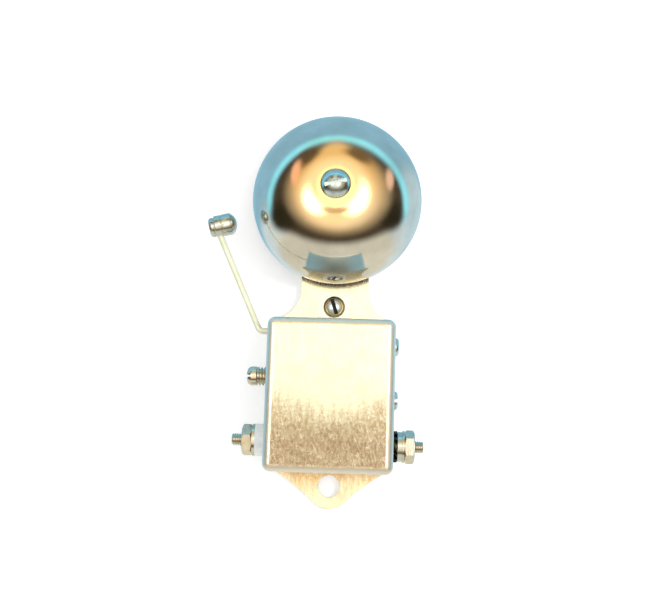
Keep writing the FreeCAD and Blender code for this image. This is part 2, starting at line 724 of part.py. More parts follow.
def armature():
    """Soft-iron bar, drawn in position and then swung open."""
    low_h = AXIS_H - ARMATURE_W / 2
    bar = slab(armature_left_x, armature_right_x, ARMATURE_FOOT_Z, ARMATURE_TOP_Z,
               low_h, low_h + ARMATURE_W)
    ends = []
    for edge in bar.Edges:
        box = edge.BoundBox
        if box.XLength > ARMATURE_T / 2 and box.ZMin > ARMATURE_TOP_Z - HAIR:
            ends.append(edge)
    bar = bar.makeFillet(ROD_D / 2, ends)
    for z in SPRING_RIVET_Z:
        hole_d = SPRING_RIVET_D + 2 * PRESS_FIT
        bar = bar.cut(round_x(hole_d, armature_left_x, armature_right_x, z, AXIS_H))
    bar = to_rest(bar)
    hole_d = ROD_D + 2 * PRESS_FIT
    return bar.cut(round_x(hole_d, rod_bend_x, POLE_X, ROD_Z, AXIS_H))


def armature_spring():
    """Leaf spring from the frame's bracket to the armature, which it hinges."""
    right = spring_right_x
    wire = leaf_outline(SPRING_FOOT_Z, ARMATURE_FOOT_Z + SPRING_HOLD, spring_left_x, right)
    half = ARMATURE_W / 2
    leaf = stand_out(wire, AXIS_H - half, AXIS_H + half)
    hole_d = SPRING_RIVET_D + 2 * PRESS_FIT
    for z in SPRING_RIVET_Z:
        hole = round_x(hole_d, right - 2 * SPRING_T, right + SPRING_T, z, AXIS_H)
        leaf = leaf.cut(to_rest(hole))
    screw_d = CLAMP_SCREW_D + RUNNING_CLEARANCE
    for h in clamp_screw_h():
        leaf = leaf.cut(round_x(screw_d, right - SPRING_T, right, clamp_mid_z(), h))
    return leaf


def spring_clamp():
    right = spring_left_x
    half = ARMATURE_W / 2
    bar = slab(right - CLAMP_T, right, SPRING_FOOT_Z, CLAMP_TOP_Z, AXIS_H - half, AXIS_H + half)
    screw_d = CLAMP_SCREW_D + RUNNING_CLEARANCE
    for h in clamp_screw_h():
        bar = bar.cut(round_x(screw_d, right - CLAMP_T, right, clamp_mid_z(), h))
    return bar


def spring_screws():
    seat_x = spring_left_x - CLAMP_T
    length = CLAMP_T + SPRING_T + FRAME_T
    screws = []
    for h in clamp_screw_h():
        screw = pan_screw(CLAMP_SCREW_D, length, CLAMP_SCREW_HEAD_D, CLAMP_SCREW_HEAD_H, 0)
        screws.append(placed(screw, at(seat_x, clamp_mid_z(), h), Vector(-1, 0, 0)))
    return Part.makeCompound(screws)


def spring_rivets():
    rivets = []
    for i, z in enumerate(SPRING_RIVET_Z):
        left = rivet_span(i)
        shank = round_x(SPRING_RIVET_D, left, armature_right_x, z, AXIS_H)
        head_r = SPRING_RIVET_HEAD_D / 2
        head = Part.makeCone(head_r, head_r * RIVET_FACE_SHARE, SPRING_RIVET_HEAD_H,
                             at(left, z, AXIS_H), Vector(-1, 0, 0))
        rivets.append(to_rest(shank.fuse(head)))
    return Part.makeCompound(rivets)


def contact_place():
    """Centre of the contact spring's outer face at the contact, armature drawn in."""
    kink_z = ARMATURE_FOOT_Z + SPRING_HOLD
    share = (CONTACT_Z - kink_z) / (CONTACT_SPRING_TIP_Z - kink_z)
    x = spring_left_x - CONTACT_SPRING_T - CONTACT_SPRING_LIFT * share
    return (x, CONTACT_Z)


def contact_spring():
    """Thin springy strip that stands off the armature and carries the contact."""
    root_z = SPRING_RIVET_Z[1] - SPRING_RIVET_HEAD_D / 2 - SPRING_RIVET_MARGIN
    kink_z = ARMATURE_FOOT_Z + SPRING_HOLD
    right = spring_left_x
    left = right - CONTACT_SPRING_T
    lift = CONTACT_SPRING_LIFT
    points = [
        (right, root_z), (right, kink_z), (right - lift, CONTACT_SPRING_TIP_Z),
        (left - lift, CONTACT_SPRING_TIP_Z), (left, kink_z), (left, root_z),
    ]
    outline = [at(x, z, 0) for x, z in points]
    outline.append(outline[0])
    half = CONTACT_SPRING_W / 2
    strip = stand_out(Part.makePolygon(outline), AXIS_H - half, AXIS_H + half)
    hole_d = SPRING_RIVET_D + 2 * PRESS_FIT
    strip = strip.cut(round_x(hole_d, left, right, SPRING_RIVET_Z[1], AXIS_H))
    return to_rest(strip)


def contact_rivet():
    """Silver contact on the spring's outer face."""
    x, z = contact_place()
    rise = CONTACT_SPRING_TIP_Z - ARMATURE_FOOT_Z - SPRING_HOLD
    slope = math.degrees(math.atan(CONTACT_SPRING_LIFT / rise))
    button = round_x(CONTACT_RIVET_D, x - CONTACT_RIVET_H, x, z, AXIS_H)
    rim = [e for e in button.Edges if e.BoundBox.XMax < x - CONTACT_RIVET_H / 2]
    button = button.makeChamfer(CONTACT_CHAMFER, rim)
    button.rotate(at(x, z, 0), Vector(0, 1, 0), -slope)
    return to_rest(button)


def tip_face_x():
    """The contact tip's inner face, clear of the armature's contact at rest."""
    return contact_rivet().BoundBox.XMin - CONTACT_GAP


def hammer_rod():
    """Wire bent up outside the cover: its tail is riveted in the armature."""
    root = swung(armature_right_x, ROD_Z, -SWING_DEG)[0] - ROD_TAIL_INSET
    tilt = math.radians(HAMMER_TILT_DEG)
    socket_x = HAMMER_X + HAMMER_ROD_OFFSET * math.cos(tilt)
    socket_z = HAMMER_Z + HAMMER_ROD_OFFSET * math.sin(tilt)
    points = [
        at(root, ROD_Z, AXIS_H),
        at(rod_bend_x, ROD_Z, AXIS_H),
        at(socket_x, socket_z, AXIS_H),
    ]
    return bent_tube(ROD_D, points, ROD_BEND_R)


def hammer_head():
    """Turned head: collar, groove and body, with a domed striking nose."""
    left = -HAMMER_LENGTH / 2
    nose = HAMMER_LENGTH / 2
    r = HAMMER_D / 2
    dome = HAMMER_DOME_H
    groove_at = left + HAMMER_COLLAR_W
    body_at = groove_at + HAMMER_GROOVE_W
    profile = [
        Vector(0, 0, left),
        Vector(HAMMER_COLLAR_D / 2, 0, left),
        Vector(HAMMER_COLLAR_D / 2, 0, groove_at),
        Vector(HAMMER_GROOVE_D / 2, 0, groove_at),
        Vector(HAMMER_GROOVE_D / 2, 0, body_at),
        Vector(r, 0, body_at),
        Vector(r, 0, nose - dome),
    ]
    edges = [Part.makeLine(a, b) for a, b in zip(profile, profile[1:])]
    dome_r = (r ** 2 + dome ** 2) / (2 * dome)
    half_way = math.asin(r / dome_r) / 2
    crest = Vector(dome_r * math.sin(half_way), 0, nose - dome_r * (1 - math.cos(half_way)))
    edges.append(Part.Arc(profile[-1], crest, Vector(0, 0, nose)).toShape())
    edges.append(Part.makeLine(Vector(0, 0, nose), profile[0]))
    head = Part.Face(Part.Wire(edges)).revolve(Vector(0, 0, 0), Vector(0, 0, 1), 360)
    tilt = math.radians(HAMMER_TILT_DEG)
    axis = Vector(math.cos(tilt), 0, math.sin(tilt))
    head = placed(head, at(HAMMER_X, HAMMER_Z, AXIS_H), axis)
    return head.cut(hammer_rod_blank())


def hammer_rod_blank():
    """The rod's upper run, a press fit wider, that bores the head."""
    tilt = math.radians(HAMMER_TILT_DEG)
    socket = at(HAMMER_X + HAMMER_ROD_OFFSET * math.cos(tilt),
                HAMMER_Z + HAMMER_ROD_OFFSET * math.sin(tilt), AXIS_H)
    corner = at(rod_bend_x, ROD_Z, AXIS_H)
    run = (corner - socket).normalize()
    start = socket - run * PRESS_FIT
    return Part.makeCylinder(ROD_D / 2 + PRESS_FIT, HAMMER_D, start, run)


def contact_sleeve():
    """Tapped brass sleeve with a hexagon inside the frame."""
    outer = -frame_x - CONTACT_BUSH_FLANGE_T
    hex_x = -frame_inner_x + INSULATOR_T
    barrel = round_x(CONTACT_SLEEVE_D, outer, hex_x, CONTACT_Z, AXIS_H)
    bore_d = CONTACT_SCREW_D + 2 * THREAD_FIT
    collar = placed(hex_nut(CONTACT_HEX_AF, CONTACT_HEX_T, bore_d, 0),
                    at(hex_x, CONTACT_Z, AXIS_H), Vector(1, 0, 0))
    bore = round_x(bore_d, outer, hex_x + CONTACT_HEX_T, CONTACT_Z, AXIS_H)
    return barrel.fuse(collar).cut(bore)


def contact_barrel_d():
    return CONTACT_SLEEVE_D + 2 * PRESS_FIT + 2 * CONTACT_BUSH_WALL


def contact_bush():
    """Insulating bush between the sleeve and the frame's left side."""
    outer = -frame_x - CONTACT_BUSH_FLANGE_T
    bore_d = CONTACT_SLEEVE_D + 2 * PRESS_FIT
    barrel = round_x(contact_barrel_d(), -frame_x, -frame_inner_x, CONTACT_Z, AXIS_H)
    flange = round_x(CONTACT_BUSH_FLANGE_D, outer, -frame_x, CONTACT_Z, AXIS_H)
    return barrel.fuse(flange).cut(round_x(bore_d, outer, -frame_inner_x, CONTACT_Z, AXIS_H))


def contact_washer():
    """Insulating washer between the sleeve's hexagon and the frame."""
    x0 = -frame_inner_x
    bore_d = CONTACT_SLEEVE_D + 2 * PRESS_FIT
    return ring(CONTACT_WASHER_D, bore_d, x0, x0 + INSULATOR_T, CONTACT_Z, AXIS_H)


def contact_screw():
    """Adjusting screw with a slotted, rounded outer end."""
    inner = tip_face_x() - CONTACT_TIP_H
    r = CONTACT_SCREW_D / 2
    length = inner - contact_screw_end_x
    body = Part.makeCylinder(r, length)
    rim = [e for e in body.Edges if e.BoundBox.ZMin > length - HAIR]
    body = body.makeFillet(CONTACT_SCREW_ROUND_R, rim)
    width = CONTACT_SCREW_D * SLOT_WIDTH_SHARE
    depth = r * SLOT_DEPTH_SHARE
    corner = Vector(-width / 2, -CONTACT_SCREW_D, length - depth)
    slot = Part.makeBox(width, CONTACT_SCREW_D * 2, depth, corner)
    return placed(body.cut(slot), at(inner, CONTACT_Z, AXIS_H), Vector(-1, 0, 0))


def contact_tip():
    """Silver tip on the screw's inner end, just touching the armature's contact."""
    face = tip_face_x()
    tip = round_x(CONTACT_TIP_D, face - CONTACT_TIP_H, face, CONTACT_Z, AXIS_H)
    rim = [e for e in tip.Edges if e.BoundBox.XMin > face - CONTACT_TIP_H / 2]
    return tip.makeFillet(CONTACT_TIP_ROUND_R, rim)


def stud(inner_x, outer_x, z):
    """Threaded stud with a short chamfer at its outer end."""
    low = min(inner_x, outer_x)
    high = max(inner_x, outer_x)
    body = round_x(STUD_D, low, high, z, AXIS_H)
    rim = []
    for edge in body.Edges:
        box = edge.BoundBox
        if box.XLength < HAIR and abs(box.XMin - outer_x) < HAIR:
            rim.append(edge)
    return body.makeChamfer(STUD_CHAMFER, rim)


def inner_nut(seat_x, z, axis):
    nut = hex_nut(INNER_NUT_AF, INNER_NUT_T, STUD_D + 2 * THREAD_FIT, 0)
    return placed(nut, at(seat_x, z, AXIS_H), axis)


def left_inner_x():
    """Where the left stud's inner nut ends."""
    return -frame_inner_x + INSULATOR_T + TAG_T + INNER_NUT_T


def left_stud():
    return stud(left_inner_x() + STUD_STANDOUT, left_stud_end_x, LEFT_TERMINAL_Z)


def left_bush():
    """White insulating bush, its flange standing out through the cover."""
    flange = round_x(LEFT_BUSH_D, -frame_x - LEFT_BUSH_T, -frame_x, LEFT_TERMINAL_Z, AXIS_H)
    barrel = round_x(LEFT_BUSH_BARREL_D, -frame_x, -frame_inner_x, LEFT_TERMINAL_Z, AXIS_H)
    bore = round_x(STUD_HOLE_D, -frame_x - LEFT_BUSH_T, -frame_inner_x, LEFT_TERMINAL_Z, AXIS_H)
    return flange.fuse(barrel).cut(bore)


def left_insulator():
    x0 = -frame_inner_x
    return ring(TERMINAL_WASHER_D, STUD_HOLE_D, x0, x0 + INSULATOR_T, LEFT_TERMINAL_Z, AXIS_H)


def left_tag():
    """Solder tag under the inner nut, its tail towards the back."""
    x0 = -frame_inner_x + INSULATOR_T
    x1 = x0 + TAG_T
    eye = round_x(TAG_D, x0, x1, LEFT_TERMINAL_Z, AXIS_H)
    half = TAG_TAIL_W / 2
    tail = slab(x0, x1, LEFT_TERMINAL_Z - half, LEFT_TERMINAL_Z + half, AXIS_H - TAG_TAIL, AXIS_H)
    return eye.fuse(tail).cut(round_x(STUD_HOLE_D, x0, x1, LEFT_TERMINAL_Z, AXIS_H))


def left_inner_nut():
    return inner_nut(left_inner_x() - INNER_NUT_T, LEFT_TERMINAL_Z, Vector(1, 0, 0))


def left_washer():
    outer = -frame_x - LEFT_BUSH_T
    return ring(TERMINAL_WASHER_D, STUD_HOLE_D, outer - LEFT_WASHER_T, outer,
                LEFT_TERMINAL_Z, AXIS_H)


def left_nut():
    seat = -frame_x - LEFT_BUSH_T - LEFT_WASHER_T
    nut = hex_nut(NUT_AF, NUT_T, STUD_D + 2 * THREAD_FIT, LEFT_NUT_DEG)
    return placed(nut, at(seat, LEFT_TERMINAL_Z, AXIS_H), Vector(-1, 0, 0))


def right_inner_nut():
    return inner_nut(frame_inner_x, RIGHT_TERMINAL_Z, Vector(-1, 0, 0))


def right_stud():
    inner = frame_inner_x - INNER_NUT_T - STUD_STANDOUT
    return stud(inner, right_stud_end_x, RIGHT_TERMINAL_Z)


def right_spacer():
    return ring(RIGHT_SPACER_D, STUD_HOLE_D, frame_x, frame_x + RIGHT_SPACER_T,
                RIGHT_TERMINAL_Z, AXIS_H)


def right_lock_washer():
    """Lock washer: a flat ring whose outer teeth are each twisted."""
    x0 = frame_x + RIGHT_SPACER_T + (LOCK_WASHER_ROOM - LOCK_WASHER_T) / 2
    body = ring(LOCK_WASHER_RING_D, STUD_HOLE_D, x0, x0 + LOCK_WASHER_T,
                RIGHT_TERMINAL_Z, AXIS_H)
    root_r = LOCK_WASHER_RING_D / 2 - LOCK_TOOTH_ROOT
    corner = Vector(-LOCK_WASHER_T / 2, -LOCK_TOOTH_W / 2, root_r)
    centre = at(x0 + LOCK_WASHER_T / 2, RIGHT_TERMINAL_Z, AXIS_H)
    teeth = []
    for i in range(LOCK_WASHER_TEETH):
        tooth = Part.makeBox(LOCK_WASHER_T, LOCK_TOOTH_W, LOCK_WASHER_D / 2 - root_r, corner)
        tooth.rotate(Vector(0, 0, 0), Vector(0, 0, 1), LOCK_TOOTH_DEG)
        tooth.translate(centre)
        tooth.rotate(centre, Vector(1, 0, 0), 360 / LOCK_WASHER_TEETH * i)
        teeth.append(tooth)
    return body.fuse(teeth)


def right_outer_x():
    """The outer face of the lock washer's room."""
    return frame_x + RIGHT_SPACER_T + LOCK_WASHER_ROOM


def right_clamp_washer():
    """Thick brass washer that the wire is clamped on."""
    x0 = right_outer_x()
    return ring(CLAMP_WASHER_D, STUD_HOLE_D, x0, x0 + CLAMP_WASHER_T, RIGHT_TERMINAL_Z, AXIS_H)


def right_washer():
    x0 = right_outer_x() + CLAMP_WASHER_T
    return ring(TERMINAL_WASHER_D, STUD_HOLE_D, x0, x0 + RIGHT_WASHER_T, RIGHT_TERMINAL_Z, AXIS_H)


def right_nut():
    seat = right_outer_x() + CLAMP_WASHER_T + RIGHT_WASHER_T
    nut = hex_nut(NUT_AF, NUT_T, STUD_D + 2 * THREAD_FIT, RIGHT_NUT_DEG)
    return placed(nut, at(seat, RIGHT_TERMINAL_Z, AXIS_H), Vector(1, 0, 0))


def winding_foot_h():
    """Depth of a winding's underside, where the leads join it."""
    return AXIS_H - WINDING_D / 2


def terminal_lead():
    """From the left terminal's tag to the lower coil."""
    x0 = -frame_inner_x + INSULATOR_T + TAG_T
    x1 = bobbin_span()[0] + 2 * BOBBIN_FLANGE_T
    tail_h = AXIS_H - TAG_TAIL + LEAD_D
    points = [
        at(x0, LEFT_TERMINAL_Z, tail_h),
        at(x0 + LEAD_RUN, LEFT_TERMINAL_Z, tail_h),
        at(x1, COIL_Z[1], LEAD_H),
        at(x1, COIL_Z[1], winding_foot_h()),
    ]
    return bent_tube(LEAD_D, points, LEAD_BEND_R)


def contact_lead():
    """From the contact sleeve's hexagon to the upper coil."""
    x0 = -frame_inner_x + INSULATOR_T + CONTACT_HEX_T / 2
    x1 = bobbin_span()[0] + 2 * BOBBIN_FLANGE_T
    points = [
        at(x0, CONTACT_Z, AXIS_H - CONTACT_HEX_AF / 2),
        at(x0, CONTACT_Z, LEAD_H),
        at(x1, COIL_Z[0], LEAD_H),
        at(x1, COIL_Z[0], winding_foot_h()),
    ]
    return bent_tube(LEAD_D, points, LEAD_BEND_R)


def coil_link():
    """From the lower coil to the upper one, at the frame end."""
    x = bobbin_span()[1] - 2 * BOBBIN_FLANGE_T
    points = [
        at(x, COIL_Z[1], winding_foot_h()),
        at(x, COIL_Z[1], LEAD_H),
        at(x, COIL_Z[0], LEAD_H),
        at(x, COIL_Z[0], winding_foot_h()),
    ]
    return bent_tube(LEAD_D, points, LEAD_BEND_R)


PIECES = {
    "base_plate": base_plate(),
    "magnet_frame": magnet_frame(),
    "frame_rivets": frame_rivets(),
    "gong_post": gong_post(),
    "gong_seat_washer": gong_seat_washer(),
    "gong": gong(),
    "gong_screw": gong_screw(),
    "cover": cover(),
    "cover_screw_washer": cover_screw_washer(),
    "cover_screw": cover_screw(),
    "upper_core": core(COIL_Z[0]),
    "lower_core": core(COIL_Z[1]),
    "upper_bobbin": bobbin(COIL_Z[0]),
    "lower_bobbin": bobbin(COIL_Z[1]),
    "upper_winding": winding(COIL_Z[0]),
    "lower_winding": winding(COIL_Z[1]),
    "core_screws": core_screws(),
    "armature": armature(),
    "armature_spring": armature_spring(),
    "spring_clamp": spring_clamp(),
    "spring_screws": spring_screws(),
    "spring_rivets": spring_rivets(),
    "contact_spring": contact_spring(),
    "contact_rivet": contact_rivet(),
    "hammer_rod": hammer_rod(),
    "hammer_head": hammer_head(),
    "contact_sleeve": contact_sleeve(),
    "contact_bush": contact_bush(),
    "contact_washer": contact_washer(),
    "contact_screw": contact_screw(),
    "contact_tip": contact_tip(),
    "left_stud": left_stud(),
    "left_bush": left_bush(),
    "left_insulator": left_insulator(),
    "left_tag": left_tag(),
    "left_inner_nut": left_inner_nut(),
    "left_washer": left_washer(),
    "left_nut": left_nut(),
    "right_stud": right_stud(),
    "right_inner_nut": right_inner_nut(),
    "right_spacer": right_spacer(),
    "right_lock_washer": right_lock_washer(),
    "right_clamp_washer": right_clamp_washer(),
    "right_washer": right_washer(),
    "right_nut": right_nut(),
    "terminal_lead": terminal_lead(),
    "contact_lead": contact_lead(),
    "coil_link": coil_link(),
}

os.makedirs("parts", exist_ok=True)
for name, shape in PIECES.items():
    shape.exportStep(os.path.join("parts", name + ".step"))
print("swing", round(SWING_DEG, 3), "degrees about", round(pivot_x, 3), round(pivot_z, 3))
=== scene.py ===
"""The looks of a small single-gong electric trembler bell.

Metres throughout, in the part's own frame: +Z is up the bell, +X is right, the front
faces -Y and the back lies on y = 0.
"""
import json
import math

import bmesh
import bpy
from mathutils import Matrix, Vector


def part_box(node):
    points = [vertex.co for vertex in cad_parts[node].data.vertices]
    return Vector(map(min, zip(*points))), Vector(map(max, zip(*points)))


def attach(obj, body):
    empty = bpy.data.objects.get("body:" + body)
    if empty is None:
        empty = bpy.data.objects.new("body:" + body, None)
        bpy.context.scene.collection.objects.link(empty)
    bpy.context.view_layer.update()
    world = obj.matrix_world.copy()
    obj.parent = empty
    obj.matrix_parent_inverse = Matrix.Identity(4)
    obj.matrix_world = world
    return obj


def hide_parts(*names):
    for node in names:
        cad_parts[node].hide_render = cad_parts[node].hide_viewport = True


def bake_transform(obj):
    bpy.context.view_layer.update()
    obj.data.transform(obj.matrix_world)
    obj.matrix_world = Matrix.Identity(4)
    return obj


MM = 0.001

# Places and sizes in millimetres, as the part has them
AXIS_H = 12.0
GONG_Z = 54.2
GONG_R = 27.5
GONG_WALL = 1.2
GONG_RIM_H = 5.9
GONG_TOP_H = 28.7
GONG_SHOULDER_R = 22.0
GONG_HOLE_R = 2.7
GONG_LIP_R = 0.45
HAMMER_X = -36.4
HAMMER_Z = 43.8
HAMMER_TILT_DEG = 13.9
STUD_D = 4.0
STUD_PITCH = 0.7
STUD_CHAMFER = 0.5
CONTACT_SCREW_D = 6.0
CONTACT_SCREW_PITCH = 1.0
CONTACT_Z = -4.3
COVER_SCREW_Z = 19.7
COVER_FACE_H = 25.0
SPRING_CLAMP_Z = -24.0
SPRING_FOOT_Z = -20.0
WIRE_D = 0.32
WINDING_HOLE_R = 3.62

# A metric thread, as shares of its pitch
THREAD_DEPTH_SHARE = 0.613
THREAD_ROOT_FLAT = 0.25
THREAD_CREST_FLAT = 0.125
THREAD_SHARP_DEG = 50.0
RINGS_PER_PITCH = 14

# Points of a mesh that are closer than this are one point, in millimetres
WELD = 0.0005


def linear(code):
    """An sRGB hex code as linear red, green, blue and alpha."""
    values = []
    for i in (0, 2, 4):
        c = int(code[i:i + 2], 16) / 255
        values.append(c / 12.92 if c <= 0.04045 else ((c + 0.055) / 1.055) ** 2.4)
    return (*values, 1.0)


def add(tree, kind, settings=None, inputs=None):
    """Adds a node. Each input is set, or linked where it is given an output socket."""
    node = tree.nodes.new("ShaderNode" + kind)
    for name, value in (settings or {}).items():
        setattr(node, name, value)
    for name, value in (inputs or {}).items():
        if isinstance(value, bpy.types.NodeSocket):
            tree.links.new(value, node.inputs[name])
        else:
            node.inputs[name].default_value = value
    return node


# Patterns and finishes that several materials share

def start_material(name, colour, metallic, roughness, more=None):
    """A material with its shader, and the piece's own coordinates to draw patterns in."""
    material = bpy.data.materials.new(name)
    material.use_nodes = True
    tree = material.node_tree
    tree.nodes.clear()
    sockets = {"Base Color": linear(colour), "Metallic": metallic, "Roughness": roughness}
    shader = add(tree, "BsdfPrincipled", {}, {**sockets, **(more or {})})
    add(tree, "OutputMaterial", {}, {"Surface": shader.outputs["BSDF"]})
    place = add(tree, "TexCoord").outputs["Object"]
    return material, tree, shader, place


def join(tree, value, shader, socket):
    """Links a pattern or colour to one of the shader's sockets."""
    tree.links.new(value, shader.inputs[socket])


def mixed(tree, *patterns):
    """A sum of patterns, each with its share, which is a number or a pattern too."""
    total = None
    for pattern, share in patterns:
        part = add(tree, "Math", {"operation": "MULTIPLY"}, {0: pattern, 1: share}).outputs[0]
        if total is None:
            total = part
        else:
            total = add(tree, "Math", {"operation": "ADD"}, {0: total, 1: part}).outputs[0]
    return total


def layered(tree, base, *layers):
    """Colours laid over one another: each has the pattern where it lies, and its share."""
    for colour, where, share in layers:
        amount = mixed(tree, (where, share))
        base = add(tree, "Mix", {"data_type": "RGBA"}, {
            0: amount, 6: base, 7: colour}).outputs[2]
    return base


def uneven(tree, low, high, *patterns):
    """A value that runs from low to high as a mixture of patterns does."""
    return add(tree, "MapRange", {}, {
        "Value": mixed(tree, *patterns), "To Min": low, "To Max": high}).outputs[0]


def blotches(tree, place, size_mm, low, high, stretch=(1, 1, 1), detail=3.0):
    """Soft irregular patches about size_mm across, as a value from low to high.

    The noise hardly leaves the middle of its range, so that is spread over the whole.
    """
    squeezed = add(tree, "Mapping", {}, {"Vector": place, "Scale": stretch}).outputs[0]
    cloud = add(tree, "TexNoise", {}, {
        "Vector": squeezed, "Scale": 1 / (size_mm * MM), "Detail": detail})
    return add(tree, "MapRange", {}, {
        "Value": cloud.outputs["Fac"], "From Min": 0.3, "From Max": 0.7,
        "To Min": low, "To Max": high}).outputs[0]


def scratches(tree, place, turn_deg, width_mm, length_mm, edge):
    """Straight scratches at an angle across the front: 1 on a scratch, 0 off it.

    edge is where the noise starts to count, so a higher one leaves fewer scratches.
    """
    softness = 0.08
    turned = add(tree, "Mapping", {}, {
        "Vector": place, "Rotation": (0, math.radians(turn_deg), 0)}).outputs[0]
    drawn = add(tree, "Mapping", {}, {
        "Vector": turned, "Scale": (1, 1, width_mm / length_mm)}).outputs[0]
    cloud = add(tree, "TexNoise", {}, {
        "Vector": drawn, "Scale": 1 / (width_mm * MM), "Detail": 1.0})
    return add(tree, "MapRange", {"interpolation_type": "SMOOTHSTEP"}, {
        "Value": cloud.outputs["Fac"], "From Min": edge, "From Max": edge + softness}).outputs[0]


def relief(tree, shader, height, depth_mm, edge_mm=0.0):
    """Raises the surface by a pattern, and rounds its sharp edges by edge_mm."""
    inputs = {"Height": height, "Distance": depth_mm * MM, "Strength": 1.0}
    if edge_mm:
        eased = add(tree, "Bevel", {"samples": 6}, {"Radius": edge_mm * MM})
        inputs["Normal"] = eased.outputs[0]
    bump = add(tree, "Bump", {}, inputs)
    join(tree, bump.outputs[0], shader, "Normal")


# Materials

def buffed_nickel_gong():
    """Nickel plate on a pressed steel cup, buffed from crown to rim.

    The buffing leaves a near mirror with faint streaks that run out from the crown,
    and handling leaves a slightly duller film in patches.
    """
    bright = "DEDDD8"
    material, tree, shader, place = start_material("buffed_nickel_gong", bright, 1.0, 0.11)
    centred = add(tree, "Mapping", {}, {
        "Vector": place, "Location": (0, 0, -GONG_Z * MM)}).outputs[0]
    flat = add(tree, "VectorMath", {"operation": "MULTIPLY"}, {
        0: centred, 1: (1, 0, 1)}).outputs[0]
    away = add(tree, "VectorMath", {"operation": "LENGTH"}, {0: flat}).outputs["Value"]
    around = add(tree, "VectorMath", {"operation": "NORMALIZE"}, {0: flat}).outputs[0]

    # A streak has its real width at 15 mm from the middle, and spreads on its way out
    streak_w = 0.6
    streak_l = 8
    true_at_r = 15
    spread = add(tree, "VectorMath", {"operation": "SCALE"}, {
        0: around, "Scale": true_at_r * MM}).outputs[0]
    run = add(tree, "CombineXYZ", {}, {"Y": mixed(tree, (away, streak_w / streak_l))}).outputs[0]
    polar = add(tree, "VectorMath", {"operation": "ADD"}, {0: spread, 1: run}).outputs[0]
    streaks = blotches(tree, polar, streak_w, 0.0, 1.0, detail=4.0)
    film = blotches(tree, place, 9.0, 0.0, 1.0)
    join(tree, uneven(tree, 0.085, 0.15, (streaks, 0.5), (film, 0.5)), shader, "Roughness")

    # Painted reflection: the crown is tinted warm, for the golden light that it reflects
    wear_and_painted_warmth = add(tree, "MapRange", {"interpolation_type": "SMOOTHSTEP"}, {
        "Value": away, "From Min": 17.5 * MM, "From Max": 10.5 * MM}).outputs[0]
    colour = layered(
        tree, linear(bright),
        (linear("CBC8C0"), film, 1.0),
        # Painted reflection: a warm tint on the crown
        (linear("EFD2A2"), wear_and_painted_warmth, 1.0),
    )
    join(tree, colour, shader, "Base Color")
    relief(tree, shader, streaks, 0.0022)
    return material


def light_scratches(tree, place):
    """The scratches of handling, in three directions, up to 5 mm long."""
    return mixed(
        tree,
        (scratches(tree, place, 24, 0.16, 5.0, 0.64), 1.0),
        (scratches(tree, place, -52, 0.14, 4.0, 0.66), 1.0),
        (scratches(tree, place, 82, 0.16, 3.5, 0.66), 1.0),
    )


def painted_reflection_and_shade(tree, place, clear_z, brown_z, gone_z):
    """A brown band of painted reflection and shade in the sheet's colour: 1 where it is brownest.

    The brown starts at the height clear_z, is full at brown_z and is gone again at
    gone_z. Its edge hangs down in the middle, and streaks and specks break it up.
    """
    bow_per_metre = 20.0
    run_h = 3.0
    fade_h = math.copysign(6.0, brown_z - gone_z)
    spot = add(tree, "SeparateXYZ", {}, {"Vector": place})
    across_squared = mixed(tree, (spot.outputs["X"], spot.outputs["X"]))
    runs = blotches(tree, place, 1.2, -run_h * MM, run_h * MM, stretch=(1, 1, 0.12), detail=4.0)
    edge_z = mixed(
        tree, (spot.outputs["Z"], 1.0), (across_squared, -bow_per_metre), (runs, 1.0))
    low_down = add(tree, "MapRange", {"interpolation_type": "SMOOTHSTEP"}, {
        "Value": edge_z, "From Min": clear_z * MM, "From Max": brown_z * MM}).outputs[0]
    still = add(tree, "MapRange", {"interpolation_type": "SMOOTHSTEP"}, {
        "Value": spot.outputs["Z"], "From Min": gone_z * MM,
        "From Max": (gone_z + fade_h) * MM}).outputs[0]
    specks = blotches(tree, place, 0.7, 0.3, 1.0, stretch=(1, 1, 0.5), detail=5.0)
    return mixed(tree, (mixed(tree, (low_down, still)), specks))


